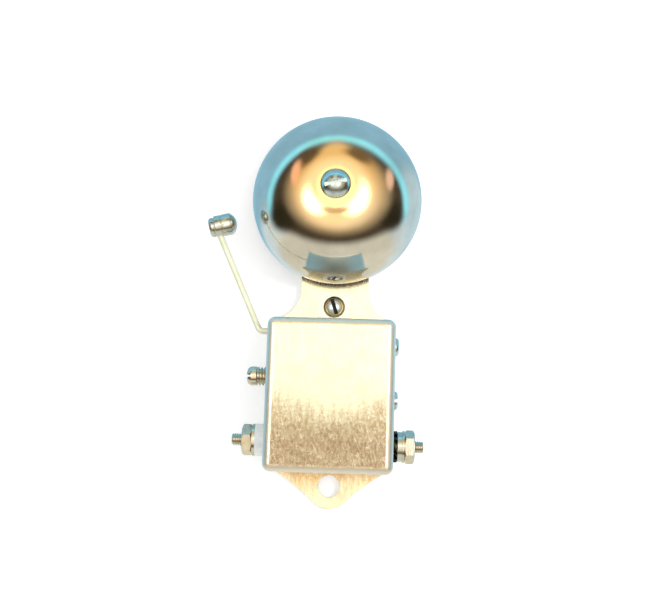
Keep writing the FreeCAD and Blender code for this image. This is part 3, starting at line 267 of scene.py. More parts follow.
def passivated_zinc(name, bright, dull, roughness, scratched, edge_mm, painted_brown_band, drawn=None):
    """Yellow-passivated zinc plate on pressed steel sheet.

    The passivation gives a pale straw colour with pinkish grey clouds. The rolled sheet
    shows through as fine lines up the bell, and use has left light scratches. The brown
    band argument is painted reflection and shade, as three heights, and the brown. drawn is the
    height of the flat face and the roughness of the bent metal behind it, which the
    press left whiter and duller than the face.
    """
    material, tree, shader, place = start_material(name, bright, 1.0, roughness)
    clear_z, brown_z, gone_z, brown = painted_brown_band
    clouds = blotches(tree, place, 5.0, 0.0, 1.0, detail=6.0)
    fine = blotches(tree, place, 0.9, 0.0, 1.0, detail=3.0)
    # Rolling lines are really about 0.05 mm apart: drawn 0.35 mm so that they show
    rolled = blotches(tree, place, 0.35, 0.0, 1.0, stretch=(1, 1, 0.04))
    marks = light_scratches(tree, place)
    colour = layered(
        tree, linear(bright),
        (linear(dull), clouds, 0.4),
        (linear(dull), fine, 0.3),
        # Painted reflection and shade, laid into the colour as a brown band low on the sheet
        (linear(brown), painted_reflection_and_shade(tree, place, clear_z, brown_z, gone_z), 1.0),
        (linear(scratched), marks, 0.4),
    )
    rough = uneven(tree, roughness * 0.75, roughness * 1.35, (rolled, 0.4), (clouds, 0.6))
    if drawn:
        # The blend starts a hair behind the face, so that the face itself is clear of it
        face_h, bent_roughness = drawn
        blend_top = face_h - 0.01
        blend_h = 0.16
        depth = add(tree, "SeparateXYZ", {}, {"Vector": place}).outputs["Y"]
        behind = add(tree, "MapRange", {"interpolation_type": "SMOOTHSTEP"}, {
            "Value": depth, "From Min": -blend_top * MM,
            "From Max": -(blend_top - blend_h) * MM}).outputs[0]
        rough = mixed(tree, (rough, 1.0), (behind, bent_roughness - roughness))
        colour = layered(tree, colour, (linear("F1F3F2"), behind, 0.85))
    join(tree, colour, shader, "Base Color")
    join(tree, rough, shader, "Roughness")

    # A pressed sheet is never quite flat: swells about 11 mm across, deeper if drawn
    swell_h = 0.035 if drawn else 0.018
    swell = blotches(tree, place, 11.0, 0.0, 1.0, detail=1.0)
    height = mixed(tree, (swell, 1.0), (rolled, 0.05), (marks, 0.05), (fine, 0.14))
    relief(tree, shader, height, swell_h, edge_mm)
    return material


def turned_metal(name, colour, wear_and_painted_warmth, roughness, axis, line_mm=0.25, edge_mm=0.08):
    """Turned and plated metal: fine tool lines round the axis, with wear at random.

    axis is the direction of the piece's own length, along which the lines follow
    one another. Tool lines are really about 0.1 mm apart, and drawn coarser to show.
    """
    material, tree, shader, place = start_material(name, colour, 1.0, roughness)
    stretch = tuple(1.0 if letter == axis else 0.03 for letter in "XYZ")
    lines = blotches(tree, place, line_mm, 0.0, 1.0, stretch=stretch)
    wear = blotches(tree, place, 2.2, 0.0, 1.0, detail=5.0)
    rough = uneven(tree, roughness * 0.7, roughness * 1.4, (lines, 0.5), (wear, 0.5))
    join(tree, layered(tree, linear(colour), (linear(wear_and_painted_warmth), wear, 0.8)), shader, "Base Color")
    join(tree, rough, shader, "Roughness")
    relief(tree, shader, lines, 0.006, edge_mm)
    return material


def rolled_metal(name, colour, wear_and_painted_warmth, roughness, edge_mm=0.1, metallic=1.0):
    """Cold-rolled strip or drawn wire, with a grain along the bell and dull patches."""
    material, tree, shader, place = start_material(name, colour, metallic, roughness)
    grain = blotches(tree, place, 0.3, 0.0, 1.0, stretch=(1, 1, 0.05))
    wear = blotches(tree, place, 3.0, 0.0, 1.0, detail=5.0)
    rough = uneven(tree, roughness * 0.75, roughness * 1.3, (grain, 0.5), (wear, 0.5))
    join(tree, layered(tree, linear(colour), (linear(wear_and_painted_warmth), wear, 1.0)), shader, "Base Color")
    join(tree, rough, shader, "Roughness")
    relief(tree, shader, grain, 0.008, edge_mm)
    return material


def moulded(name, colour, shade, roughness, grain_mm, depth_mm, more=None):
    """A moulded or pressed insulator: even colour with a slight mottle and a fine grain."""
    edge_mm = 0.12
    material, tree, shader, place = start_material(name, colour, 0.0, roughness, more)
    mottle = blotches(tree, place, 1.8, 0.0, 1.0, detail=5.0)
    grain = blotches(tree, place, grain_mm, 0.0, 1.0)
    join(tree, layered(tree, linear(colour), (linear(shade), mottle, 1.0)), shader, "Base Color")
    relief(tree, shader, grain, depth_mm, edge_mm)
    return material


def enamelled_copper():
    """Enamelled copper wire: clear amber varnish over bright copper."""
    amber = "B4602E"
    coat = {"Coat Weight": 0.6, "Coat Roughness": 0.12}
    material, tree, shader, place = start_material("enamelled_copper", amber, 1.0, 0.3, coat)
    patches = blotches(tree, place, 1.5, 0.0, 1.0, detail=4.0)
    join(tree, layered(tree, linear(amber), (linear("8A3F1C"), patches, 1.0)),
         shader, "Base Color")
    relief(tree, shader, patches, 0.004)
    return material


def make_materials():
    """A material for each finish in the record, by the name of its slot, and three more."""
    return {
        "gong_nickel": buffed_nickel_gong(),
        # The drawn cover: pale straw above, with mottled brown in its lowest third that is
        # painted reflection
        "cover_zinc": passivated_zinc(
            "passivated_cover_sheet", "EBE8DA", "CDBFA6", 0.13, "F8F5EA", 0.0,
            painted_brown_band=(-12.5, -21.5, -90.0, "AD9678"), drawn=(COVER_FACE_H, 0.50)),
        # The flat plate: a little yellower, with a golden brown patch of painted shade and
        # reflection around and below the cover
        "plate_zinc": passivated_zinc(
            "passivated_plate_sheet", "F2ECD4", "E2D0AA", 0.24, "F6F2E2", 0.25,
            painted_brown_band=(-43.0, -34.0, -10.0, "CBA262")),
        # Nickel-plated steel screws, turned: bluish white, rubbed dull by screwdrivers
        "screw_nickel": turned_metal("nickel_plated_screw", "CFE0E8", "BAC6C8", 0.26, "Y"),
        # Turned steel, plated: plain grey, since the post and rivets are out of sight
        "post_steel": turned_metal("plated_post_steel", "C4C2BC", "A8A49A", 0.3, "Y"),
        "rivet_steel": turned_metal("plated_rivet_steel", "BDBBB5", "9C978C", 0.35, "Y"),
        # Nickel-plated brass nuts and studs: the brass shows warm where the plate is thin
        "terminal_nickel": turned_metal("nickel_plated_brass", "DCDAD2", "C6BEAA", 0.17, "X"),
        # Turned brass under nickel: bluish white, with the brass showing warm in patches
        "turned_brass": turned_metal("worn_plated_brass", "CBD6DA", "C6C2B0", 0.22, "X", 0.4),
        # Bare soft iron, cold-rolled: mid grey with a dull grain
        "frame_iron": rolled_metal("soft_iron_strip", "BDB9AE", "98928A", 0.32),
        # Tempered spring strip: bluish grey and fairly bright
        "spring_steel": rolled_metal("blue_spring_steel", "AEB0B2", "84868C", 0.26, 0.04),
        # Phosphor bronze leaf: reddish gold, darker where it has aged
        "contact_bronze": rolled_metal("phosphor_bronze_leaf", "C89A66", "A4744A", 0.3, 0.04),
        # Filed silver contact tips: nearly white
        "silver": rolled_metal("silver_contact", "E6E6E2", "C8C6BE", 0.2, 0.08),
        # Zinc-plated wire under a milky yellow-green passivation, which is partly a coat
        "rod_zinc": rolled_metal("passivated_wire", "F6F7E2", "E8E9C8", 0.45, 0.0, 0.25),
        # Spring steel blackened in hot oxide: dark, with a dull sheen
        "lock_black": rolled_metal("blackened_spring_steel", "4E4C46", "1E1E1E", 0.26, 0.04),
        # Pressed vulcanised fibre: dark red-brown and matt
        "fibre": moulded("vulcanised_fibre", "6E3A2A", "532818", 0.62, 0.35, 0.01),
        # Moulded bobbins: cream, gone a little yellow
        "bobbin_plastic": moulded("moulded_bobbin", "D8D0BC", "C6BCA4", 0.45, 0.5, 0.006),
        # Moulded nylon bush: clean white that lets a little light into its edges
        "bush_white": moulded("moulded_nylon", "FAFCFC", "EDF2F4", 0.38, 0.5, 0.004,
                              {"Subsurface Weight": 0.15, "Subsurface Scale": 0.6 * MM}),
        # Sleeved wire: dark red and matt
        "lead_insulation": moulded("sleeved_wire", "8E2A22", "6E1C18", 0.55, 0.3, 0.012),
        "winding_copper": enamelled_copper(),
        # Not in the record: the cup's inside, unbuffed, in a dark grey that is painted shade for
        # the hollow under the gong
        "gong_inside": rolled_metal("unbuffed_cup_painted_shade", "77736A", "57534B", 0.55, 0.0),
        # Not in the record: a brass washer gone olive in patches
        "washer_brass": turned_metal("tarnished_brass_washer", "C6B88A", "8E8456", 0.24, "Y"),
        # Not in the record: the inside of a sawn slot, painted nearly black as shade
        "slot_painted_shade": moulded("nearly_black_slot_shade", "2B2620", "15120E", 0.7, 0.3, 0.02),
    }


# Mesh work

def new_piece(name, verts, faces, sharp_deg=35.0):
    """A mesh piece with smooth faces, creased where it turns by more than sharp_deg."""
    mesh = bpy.data.meshes.new(name)
    mesh.from_pydata(verts, [], faces)
    piece = bpy.data.objects.new(name, mesh)
    bpy.context.scene.collection.objects.link(piece)
    tidy_mesh(piece, sharp_deg)
    return piece


def tidy_mesh(piece, sharp_deg):
    """Welds doubled points, faces everything outwards and creases the sharp edges."""
    work = bmesh.new()
    work.from_mesh(piece.data)
    bmesh.ops.remove_doubles(work, verts=work.verts, dist=WELD * MM)
    bmesh.ops.dissolve_degenerate(work, edges=work.edges, dist=WELD * MM)
    bmesh.ops.recalc_face_normals(work, faces=work.faces)
    work.to_mesh(piece.data)
    work.free()
    piece.data.shade_smooth()
    piece.data.set_sharp_from_angle(angle=math.radians(sharp_deg))


def lay_along(piece, seat_mm, direction):
    """Turns a piece made about Z to point in a direction, and moves it to its seat."""
    turn = Vector((0, 0, 1)).rotation_difference(Vector(direction)).to_matrix().to_4x4()
    piece.data.transform(Matrix.Translation(Vector(seat_mm) * MM) @ turn)


def lathe(name, profile, steps=128, sharp_deg=35.0):
    """A closed outline of (radius, height) in millimetres, spun about Z."""
    count = len(profile)
    verts = []
    for k in range(steps):
        a = 2 * math.pi * k / steps
        verts.extend((r * math.cos(a) * MM, r * math.sin(a) * MM, z * MM) for r, z in profile)
    faces = []
    for k in range(steps):
        here = k * count
        there = (k + 1) % steps * count
        for i in range(count):
            j = (i + 1) % count
            if profile[i][0] > 0 or profile[j][0] > 0:
                faces.append((here + i, there + i, there + j, here + j))
    return new_piece(name, verts, faces, sharp_deg)


def rounded(points, bends, steps=5):
    """An outline whose corners named in bends, {index: radius}, are rounded off."""
    out = []
    for i, point in enumerate(points):
        if i not in bends:
            out.append(point)
            continue
        corner = Vector(point)
        before = (Vector(points[i - 1]) - corner).normalized()
        after = (Vector(points[(i + 1) % len(points)]) - corner).normalized()
        start = corner + before * bends[i]
        end = corner + after * bends[i]
        for k in range(steps + 1):
            t = k / steps
            out.append(tuple(start.lerp(corner, t).lerp(corner.lerp(end, t), t)))
    return out


def dome(base_r, dome_h, top, steps):
    """The outline of a domed end, from just inside its edge to the middle at height top."""
    ball_r = (base_r ** 2 + dome_h ** 2) / (2 * dome_h)
    widest = math.asin(base_r / ball_r)
    points = []
    for k in range(1, steps + 1):
        a = widest * (1 - k / steps)
        points.append((max(ball_r * math.sin(a), 0), top - ball_r * (1 - math.cos(a))))
    return points


def thread_share(phase):
    """How far out a thread's surface is, from root (0) to crest (1), along one pitch."""
    up_flank = abs(phase - 0.5) * 2 - THREAD_ROOT_FLAT
    return min(max(up_flank / (1 - THREAD_ROOT_FLAT - THREAD_CREST_FLAT), 0), 1)


def threaded_rod(name, d, pitch, length, limit, runout, steps=64):
    """A rod about Z with a real helical thread.

    limit gives the most that the radius may be at a height, for the shaped end, and
    the thread fades out over one pitch below the height runout.
    """
    depth = pitch * THREAD_DEPTH_SHARE
    rings = max(2, round(length / pitch * RINGS_PER_PITCH))
    verts = []
    for i in range(rings + 1):
        z = length * i / rings
        fade = min(max((runout - z) / pitch, 0), 1)
        for k in range(steps):
            turn = k / steps
            share = thread_share((z / pitch - turn) % 1)
            r = min(d / 2 - depth * (1 - share) * fade, limit(z))
            a = 2 * math.pi * turn
            verts.append((r * math.cos(a) * MM, r * math.sin(a) * MM, z * MM))
    faces = []
    for i in range(rings):
        for k in range(steps):
            low = i * steps + k
            next_low = i * steps + (k + 1) % steps
            faces.append((low, next_low, next_low + steps, low + steps))
    faces.append(tuple(range(steps)))
    faces.append(tuple(rings * steps + k for k in range(steps)))
    return new_piece(name, verts, faces, THREAD_SHARP_DEG)


def box_piece(name, low_mm, high_mm):
    """A plain block, used only to cut other pieces."""
    work = bmesh.new()
    bmesh.ops.create_cube(work, size=1.0)
    low = Vector(low_mm) * MM
    high = Vector(high_mm) * MM
    size = high - low
    for vert in work.verts:
        vert.co = Vector([c * s for c, s in zip(vert.co, size)]) + (low + high) / 2
    mesh = bpy.data.meshes.new(name)
    work.to_mesh(mesh)
    work.free()
    piece = bpy.data.objects.new(name, mesh)
    bpy.context.scene.collection.objects.link(piece)
    return piece


def cut_away(piece, cutter, sharp_deg, operation="DIFFERENCE"):
    """Cuts a piece by another, which is then removed. The cut keeps the cutter's material."""
    cut = piece.modifiers.new("cut", "BOOLEAN")
    cut.operation = operation
    cut.solver = "EXACT"
    cut.material_mode = "TRANSFER"
    cut.object = cutter
    graph = bpy.context.evaluated_depsgraph_get()
    mesh = bpy.data.meshes.new_from_object(piece.evaluated_get(graph))
    piece.modifiers.clear()
    piece.data = mesh
    bpy.data.objects.remove(cutter)
    tidy_mesh(piece, sharp_deg)


def dress(piece, body, node, slot, materials):
    """Gives a made piece its body, its node and, where it has none yet, its material."""
    if not piece.data.materials:
        piece.data.materials.append(materials[slot])
    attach(piece, body)
    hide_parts(node)


# Pieces

def shoulder(rim_r, top_h, bend_r, steps=40):
    """The outline of the gong's crown edge: a quarter round from the top to the skirt."""
    points = []
    for k in range(steps + 1):
        a = math.pi / 2 * k / steps
        points.append((rim_r - bend_r + bend_r * math.sin(a),
                       top_h - bend_r + bend_r * math.cos(a)))
    return points


def make_gong(materials):
    """The cup: flat crown, one round shoulder, a short skirt and a rounded lip."""
    outer = shoulder(GONG_R, GONG_TOP_H, GONG_SHOULDER_R)
    inner = shoulder(GONG_R - GONG_WALL, GONG_TOP_H - GONG_WALL, GONG_SHOULDER_R - GONG_WALL)
    profile = [(GONG_HOLE_R, GONG_TOP_H)] + outer
    profile += [(GONG_R, GONG_RIM_H), (GONG_R - GONG_WALL, GONG_RIM_H)]
    profile += inner[::-1] + [(GONG_HOLE_R, GONG_TOP_H - GONG_WALL)]
    rim = len(outer) + 1
    profile = rounded(profile, {rim: GONG_LIP_R, rim + 1: GONG_LIP_R})
    gong = lathe("gong_cup", profile, steps=256)
    gong.data.materials.append(materials["gong_nickel"])
    gong.data.materials.append(materials["gong_inside"])
    # Faces that look in at the axis, or back at the plate, get the inside's material, whose dark
    # grey is painted shade
    for face in gong.data.polygons:
        outward = Vector((face.center.x, face.center.y, 0)).normalized()
        if face.normal.dot(outward) < -0.2 or face.normal.z < -0.9:
            face.material_index = 1
    lay_along(gong, (0, 0, GONG_Z), (0, -1, 0))
    dress(gong, "base", "gong", "gong_nickel", materials)


def make_hammer(materials):
    """Turned head: collar, groove and body with a domed nose, edges eased by hand."""
    body_r = 3.5
    groove_r = 3.36
    nose_h = 4.6
    dome_h = 1.9
    points = [
        (0, -4.3), (3.05, -4.3), (3.2, -2.9), (3.0, -2.8), (3.0, -2.5), (body_r, -2.4),
        (body_r, -0.35), (groove_r, -0.25), (groove_r, -0.05), (body_r, 0.05),
        (body_r, nose_h - dome_h),
    ]
    points += dome(body_r, dome_h, nose_h, 16)
    profile = rounded(points, {1: 1.0, 5: 0.3})
    head = lathe("hammer_turned_head", profile, steps=96)
    tilt = math.radians(HAMMER_TILT_DEG)
    lay_along(head, (HAMMER_X, -AXIS_H, HAMMER_Z), (math.cos(tilt), 0, math.sin(tilt)))
    dress(head, "armature_group", "hammer_head", "turned_brass", materials)


def chamfered_end(d, length, chamfer):
    """The radius that a stud may have at a height, with its end chamfered."""
    return lambda z: min(d / 2, d / 2 - chamfer + (length - z))


def make_stud(name, node, materials):
    """A stud with a real thread, as long as the node that it stands for."""
    low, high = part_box(node)
    length = (high.x - low.x) / MM
    limit = chamfered_end(STUD_D, length, STUD_CHAMFER)
    stud = threaded_rod(name, STUD_D, STUD_PITCH, length, limit, length + STUD_PITCH)
    middle_z = (low.z + high.z) / 2 / MM
    if low.x < 0:
        lay_along(stud, (high.x / MM, -AXIS_H, middle_z), (-1, 0, 0))
    else:
        lay_along(stud, (low.x / MM, -AXIS_H, middle_z), (1, 0, 0))
    dress(stud, "base", node, "terminal_nickel", materials)


def make_contact_screw(materials):
    """Adjusting screw: thread, plain rounded outer end and a sawn slot across it."""
    round_r = 1.7
    plain_end = 2.9
    slot_w = 1.0
    slot_depth = 1.2
    past = 1
    half_cut = CONTACT_SCREW_D / 2 + 2
    low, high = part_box("contact_screw")
    length = (high.x - low.x) / MM

    def limit(z):
        rise = max(z - (length - round_r), 0)
        drop = round_r - math.sqrt(max(round_r ** 2 - rise ** 2, 0))
        return CONTACT_SCREW_D / 2 - drop

    screw = threaded_rod("contact_adjusting_screw", CONTACT_SCREW_D, CONTACT_SCREW_PITCH,
                         length, limit, length - plain_end)
    screw.data.materials.append(materials["terminal_nickel"])
    lay_along(screw, (high.x / MM, -AXIS_H, CONTACT_Z), (-1, 0, 0))
    outer = low.x / MM
    slot = box_piece("slot_cutter", (outer - past, -AXIS_H - half_cut, CONTACT_Z - slot_w / 2),
                     (outer + slot_depth, -AXIS_H + half_cut, CONTACT_Z + slot_w / 2))
    # The slot's cut faces get painted shade, nearly black
    slot.data.materials.append(materials["slot_painted_shade"])
    cut_away(screw, slot, THREAD_SHARP_DEG)
    dress(screw, "contact_turner", "contact_screw", "terminal_nickel", materials)


def make_slotted_screw(name, node, middle, shank_r, head, slot, materials):
    """A screw that stands out from the front: shank, head and a sawn slot across it.

    head is its radius, height and how much of the height is upright side. slot is its
    width, depth and turn in degrees, and whether its cut faces are painted nearly black as shade.
    """
    tip_chamfer = 0.3
    past = 1
    sharp_deg = 40.0
    head_r, head_h, side_h = head
    slot_w, slot_depth, slot_deg, slot_shade_painted = slot
    low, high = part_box(node)
    tip = -high.y / MM
    crown = -low.y / MM
    seat = crown - head_h
    profile = [(0, tip), (shank_r - tip_chamfer, tip), (shank_r, tip + tip_chamfer),
               (shank_r, seat), (head_r, seat), (head_r, seat + side_h)]
    profile += dome(head_r, head_h - side_h, crown, 24)
    profile = rounded(profile, {4: 0.15, 5: 0.04})
    screw = lathe(name, profile, steps=96, sharp_deg=sharp_deg)
    screw.data.materials.append(materials["screw_nickel"])
    lay_along(screw, (middle[0], 0, middle[1]), (0, -1, 0))
    cutter = box_piece("slot_cutter", (-head_r - past, -crown - past, -slot_w / 2),
                       (head_r + past, -crown + slot_depth, slot_w / 2))
    cutter.data.transform(Matrix.Rotation(math.radians(-slot_deg), 4, "Y"))
    cutter.data.transform(Matrix.Translation(Vector((middle[0], 0, middle[1])) * MM))
    # Where asked, the slot's cut faces get painted shade, nearly black
    cutter.data.materials.append(materials["slot_painted_shade" if slot_shade_painted else "screw_nickel"])
    cut_away(screw, cutter, sharp_deg)
    dress(screw, "base", node, "screw_nickel", materials)


def make_nut(name, node, body, across_flats, turn_deg, materials):
    """A hexagon nut on a terminal: six flats, both faces turned off to a cone."""
    bore_r = 2.0
    bore_chamfer = 0.3
    cone_deg = 30
    face_share = 0.95
    low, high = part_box(node)
    length = (high.x - low.x) / MM
    corner_r = across_flats / math.sqrt(3)
    # The blank is a hair wider than the corners, so that the flats cut it all round
    blank_r = corner_r + 0.05
    face_r = across_flats / 2 * face_share
    cone_h = (blank_r - face_r) * math.tan(math.radians(cone_deg))
    profile = [(bore_r + bore_chamfer, 0), (face_r, 0), (blank_r, cone_h),
               (blank_r, length - cone_h), (face_r, length), (bore_r + bore_chamfer, length),
               (bore_r, length - bore_chamfer), (bore_r, bore_chamfer)]
    nut = lathe(name, profile, steps=96)
    nut.data.materials.append(materials["terminal_nickel"])
    verts = []
    for z in (-1, length + 1):
        for k in range(6):
            a = math.radians(60 * k)
            verts.append((corner_r * math.cos(a) * MM, corner_r * math.sin(a) * MM, z * MM))
    faces = [tuple(range(6))[::-1], tuple(range(6, 12))]
    faces += [(k, (k + 1) % 6, 6 + (k + 1) % 6, 6 + k) for k in range(6)]
    flats = new_piece("nut_flats", verts, faces)
    flats.data.materials.append(materials["terminal_nickel"])
    cut_away(nut, flats, 20.0, "INTERSECT")
    lay_along(nut, (0, 0, 0), (1, 0, 0))
    nut.data.transform(Matrix.Rotation(math.radians(turn_deg), 4, "X"))
    middle_z = (low.z + high.z) / 2
    nut.data.transform(Matrix.Translation((low.x, -AXIS_H * MM, middle_z)))
    dress(nut, body, node, "terminal_nickel", materials)


def make_cover_washer(materials):
    """The cover screw's washer, cupped, so that its rim catches light all round."""
    hole_r = 1.6
    rim_r = 3.5
    rim_h = 0.12
    flat_r = 2.75
    low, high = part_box("cover_screw_washer")
    back = -high.y / MM
    front = -low.y / MM
    profile = rounded([(hole_r, back), (rim_r, back), (rim_r, back + rim_h), (flat_r, front),
                       (hole_r, front)], {2: 0.1, 3: 0.25})
    washer = lathe("cover_cupped_washer", profile, steps=96)
    washer.data.materials.append(materials["washer_brass"])
    lay_along(washer, (0, 0, COVER_SCREW_Z), (0, -1, 0))
    dress(washer, "base", "cover_screw_washer", "screw_nickel", materials)


def make_winding(name, node, materials):
    """The coil's outer layer of wire, turn against turn, on a plain ring."""
    low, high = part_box(node)
    length = (high.x - low.x) / MM
    outer_r = (high.z - low.z) / 2 / MM
    turns = round(length / WIRE_D)
    points_per_turn = 6
    profile = []
    for i in range(turns * points_per_turn + 1):
        z = length * i / (turns * points_per_turn)
        bulge = abs(math.sin(math.pi * i / points_per_turn))
        profile.append((outer_r - WIRE_D / 2 * (1 - bulge), z))
    profile += [(WINDING_HOLE_R, length), (WINDING_HOLE_R, 0)]
    coil = lathe(name, profile, steps=72, sharp_deg=80.0)
    middle = (low + high) / 2 / MM
    lay_along(coil, (low.x / MM, middle.y, middle.z), (1, 0, 0))
    dress(coil, "base", node, "winding_copper", materials)


def make_armature_spring(frame, materials):
    """The leaf that hinges the armature, cut across many times between the clamp and the bar's
    foot, where the real leaf bends.
    """
    mesh = frame["nodes"]["armature_spring"].data.copy()
    leaf = bpy.data.objects.new("armature_leaf", mesh)
    bpy.context.scene.collection.objects.link(leaf)
    work = bmesh.new()
    work.from_mesh(mesh)
    cuts = 12
    for k in range(cuts + 1):
        z = (SPRING_CLAMP_Z + (SPRING_FOOT_Z - SPRING_CLAMP_Z) * k / cuts) * MM
        everything = list(work.verts) + list(work.edges) + list(work.faces)
        bmesh.ops.bisect_plane(work, geom=everything, plane_co=(0, 0, z), plane_no=(0, 0, 1))
    work.to_mesh(mesh)
    work.free()
    mesh.materials.clear()
    mesh.materials.append(materials["spring_steel"])
    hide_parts("armature_spring")
    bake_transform(leaf)


def dress_nodes(frame, materials):
    """Every node that is kept gets the material of its slot in the record."""
    for row in frame["record"]["subparts"]:
        node = frame["nodes"][row["node"]]
        node.data.materials.clear()
        node.data.materials.append(materials[row["material_slot"]])


# Studio

# What the polished surfaces see, as one picture of the studio in front of the bell: degrees
# right and up of straight ahead. Each row is a soft-edged ellipse laid over those before it:
# centre, half sizes, share of it that is edge, colour and how bright.
CARD_GAIN = 1.45
STUDIO_CARDS = [
    ((0, -120), (230, 135), 0.35, "C6D3D6", CARD_GAIN),
    ((130, 30), (45, 60), 0.90, "B4CAD2", CARD_GAIN),
    ((0, -92), (112, 74), 0.40, "D0CAB8", CARD_GAIN),
    ((1, 0), (97, 58), 0.28, "463A2A", CARD_GAIN),
    ((-73, -22), (24, 20), 0.90, "2C2618", CARD_GAIN),
    ((76, -17), (22, 20), 0.90, "2C2618", CARD_GAIN),
    ((3, 4), (56, 42), 0.60, "D9BE92", 1.25),
    ((-2, 36), (15, 24), 0.80, "E8CFA2", 1.25),
    ((1, 0), (37, 30), 0.70, "FFF2D8", 1.35),
    ((-30, 43), (13, 12), 0.90, "54483A", CARD_GAIN),
    ((18, 43), (13, 9), 0.90, "6A5C48", CARD_GAIN),
    ((-41, 28), (7, 13), 0.90, "F0BC9C", CARD_GAIN),
    ((60, 28), (7, 13), 0.90, "F2C4A4", CARD_GAIN),
    ((-19, 0), (11, 12), 0.90, "FFFAF0", 3.60),
    ((16, 2), (12, 14), 0.90, "FFFAF0", 3.60),
    ((-1.5, -2.2), (9, 5.0), 0.50, "DCC6AC", 1.10),
    ((-1.6, 9.9), (5.0, 7.6), 0.30, "FAFFE0", 1.80),
]
REAR_COLOUR = "86B0C4"
TENT_R = 10.0

# The cyan arc follows the outline of an ellipse. It fades away on both sides of the line,
# over a share of the ellipse's size, and its two ends fade out downwards. It lies over the
# first ARC_AFTER cards and under the others.
ARC_AFTER = 4
ARC_COLOUR = "94EAF8"
ARC_CENTRE = (3, -15)
ARC_HALF = (99, 84)
ARC_FADE = 0.13
ARC_GONE_V = -30.0
ARC_FULL_V = 5.0

# What the table adds to the light that falls on it, and how much the surround lights the
# bell, where 1 is white
TABLE_GLOW = 0.38
SURROUND_LIGHT = 0.95


def lit(code, gain):
    """A card's colour, as bright as its light makes it."""
    return tuple(c * gain for c in linear(code)[:3]) + (1.0,)


def ellipse_reach(tree, across, centre, half):
    """How far out a direction lies in an ellipse: 0 in its middle, 1 on its outline."""
    moved = add(tree, "VectorMath", {"operation": "SUBTRACT"}, {
        0: across, 1: (*centre, 0)}).outputs[0]
    sized = add(tree, "VectorMath", {"operation": "DIVIDE"}, {0: moved, 1: (*half, 1)}).outputs[0]
    return add(tree, "VectorMath", {"operation": "LENGTH"}, {0: sized}).outputs["Value"]


def paint_card(tree, across, under, card):
    """Lays one soft-edged card of the studio over what is there already."""
    centre, half, edge, code, gain = card
    away = ellipse_reach(tree, across, centre, half)
    inside = add(tree, "MapRange", {"interpolation_type": "SMOOTHSTEP"}, {
        "Value": away, "From Min": 1 + edge / 2, "From Max": 1 - edge / 2}).outputs[0]
    return layered(tree, under, (lit(code, gain), inside, 1.0))


def paint_arc(tree, across, under):
    """The bright cyan arc that runs over the top, fading out below on both sides."""
    away = ellipse_reach(tree, across, ARC_CENTRE, ARC_HALF)
    off = add(tree, "Math", {"operation": "SUBTRACT"}, {0: away, 1: 1.0}).outputs[0]
    gap = add(tree, "Math", {"operation": "ABSOLUTE"}, {0: off}).outputs[0]
    band = add(tree, "MapRange", {"interpolation_type": "SMOOTHSTEP"}, {
        "Value": gap, "From Min": ARC_FADE, "From Max": 0.0}).outputs[0]
    height = add(tree, "SeparateXYZ", {}, {"Vector": across}).outputs["Y"]
    upper = add(tree, "MapRange", {"interpolation_type": "SMOOTHSTEP"}, {
        "Value": height, "From Min": ARC_GONE_V, "From Max": ARC_FULL_V}).outputs[0]
    return layered(tree, under, (lit(ARC_COLOUR, CARD_GAIN), band, upper))


def degrees_across(tree):
    """Each point of the tent as degrees right and up of straight ahead of the bell."""
    place = add(tree, "TexCoord").outputs["Object"]
    unit = add(tree, "VectorMath", {"operation": "NORMALIZE"}, {0: place}).outputs[0]
    part = add(tree, "SeparateXYZ", {}, {"Vector": unit})
    ahead = mixed(tree, (part.outputs["Y"], -1.0))
    turn = add(tree, "Math", {"operation": "ARCCOSINE"}, {0: ahead}).outputs[0]
    flat = add(tree, "CombineXYZ", {}, {
        "X": part.outputs["X"], "Y": part.outputs["Z"]}).outputs[0]
    heading = add(tree, "VectorMath", {"operation": "NORMALIZE"}, {0: flat}).outputs[0]
    return add(tree, "VectorMath", {"operation": "SCALE"}, {
        0: heading, "Scale": mixed(tree, (turn, 180 / math.pi))}).outputs[0]


def studio_tent():
    """The light tent round the bell, seen only in the reflections of polished surfaces."""
    work = bmesh.new()
    bmesh.ops.create_icosphere(work, subdivisions=5, radius=TENT_R)
    mesh = bpy.data.meshes.new("studio_tent")
    work.to_mesh(mesh)
    work.free()
    tent = bpy.data.objects.new("studio_tent", mesh)
    bpy.context.scene.collection.objects.link(tent)
    material = bpy.data.materials.new("tent_cloth_and_cards")
    material.use_nodes = True
    tree = material.node_tree
    tree.nodes.clear()
    across = degrees_across(tree)
    colour = lit(REAR_COLOUR, CARD_GAIN)
    for card in STUDIO_CARDS[:ARC_AFTER]:
        colour = paint_card(tree, across, colour, card)
    colour = paint_arc(tree, across, colour)
    for card in STUDIO_CARDS[ARC_AFTER:]:
        colour = paint_card(tree, across, colour, card)
    glow = add(tree, "Emission", {}, {"Color": colour, "Strength": 1.0})
    add(tree, "OutputMaterial", {}, {"Surface": glow.outputs[0]})
    material.cycles.emission_sampling = "NONE"
    mesh.materials.append(material)
    tent.visible_camera = False
    tent.visible_diffuse = False
    tent.visible_shadow = False
    tent.visible_transmission = False
    tent.visible_volume_scatter = False


def seen_as_white(tree):
    """1 where the camera sees the backdrop itself, or sees it in metal or through glass."""
    path = add(tree, "LightPath")
    rays = ("Is Camera Ray", "Is Glossy Ray", "Is Transmission Ray")
    return mixed(tree, *((path.outputs[ray], 1.0) for ray in rays))


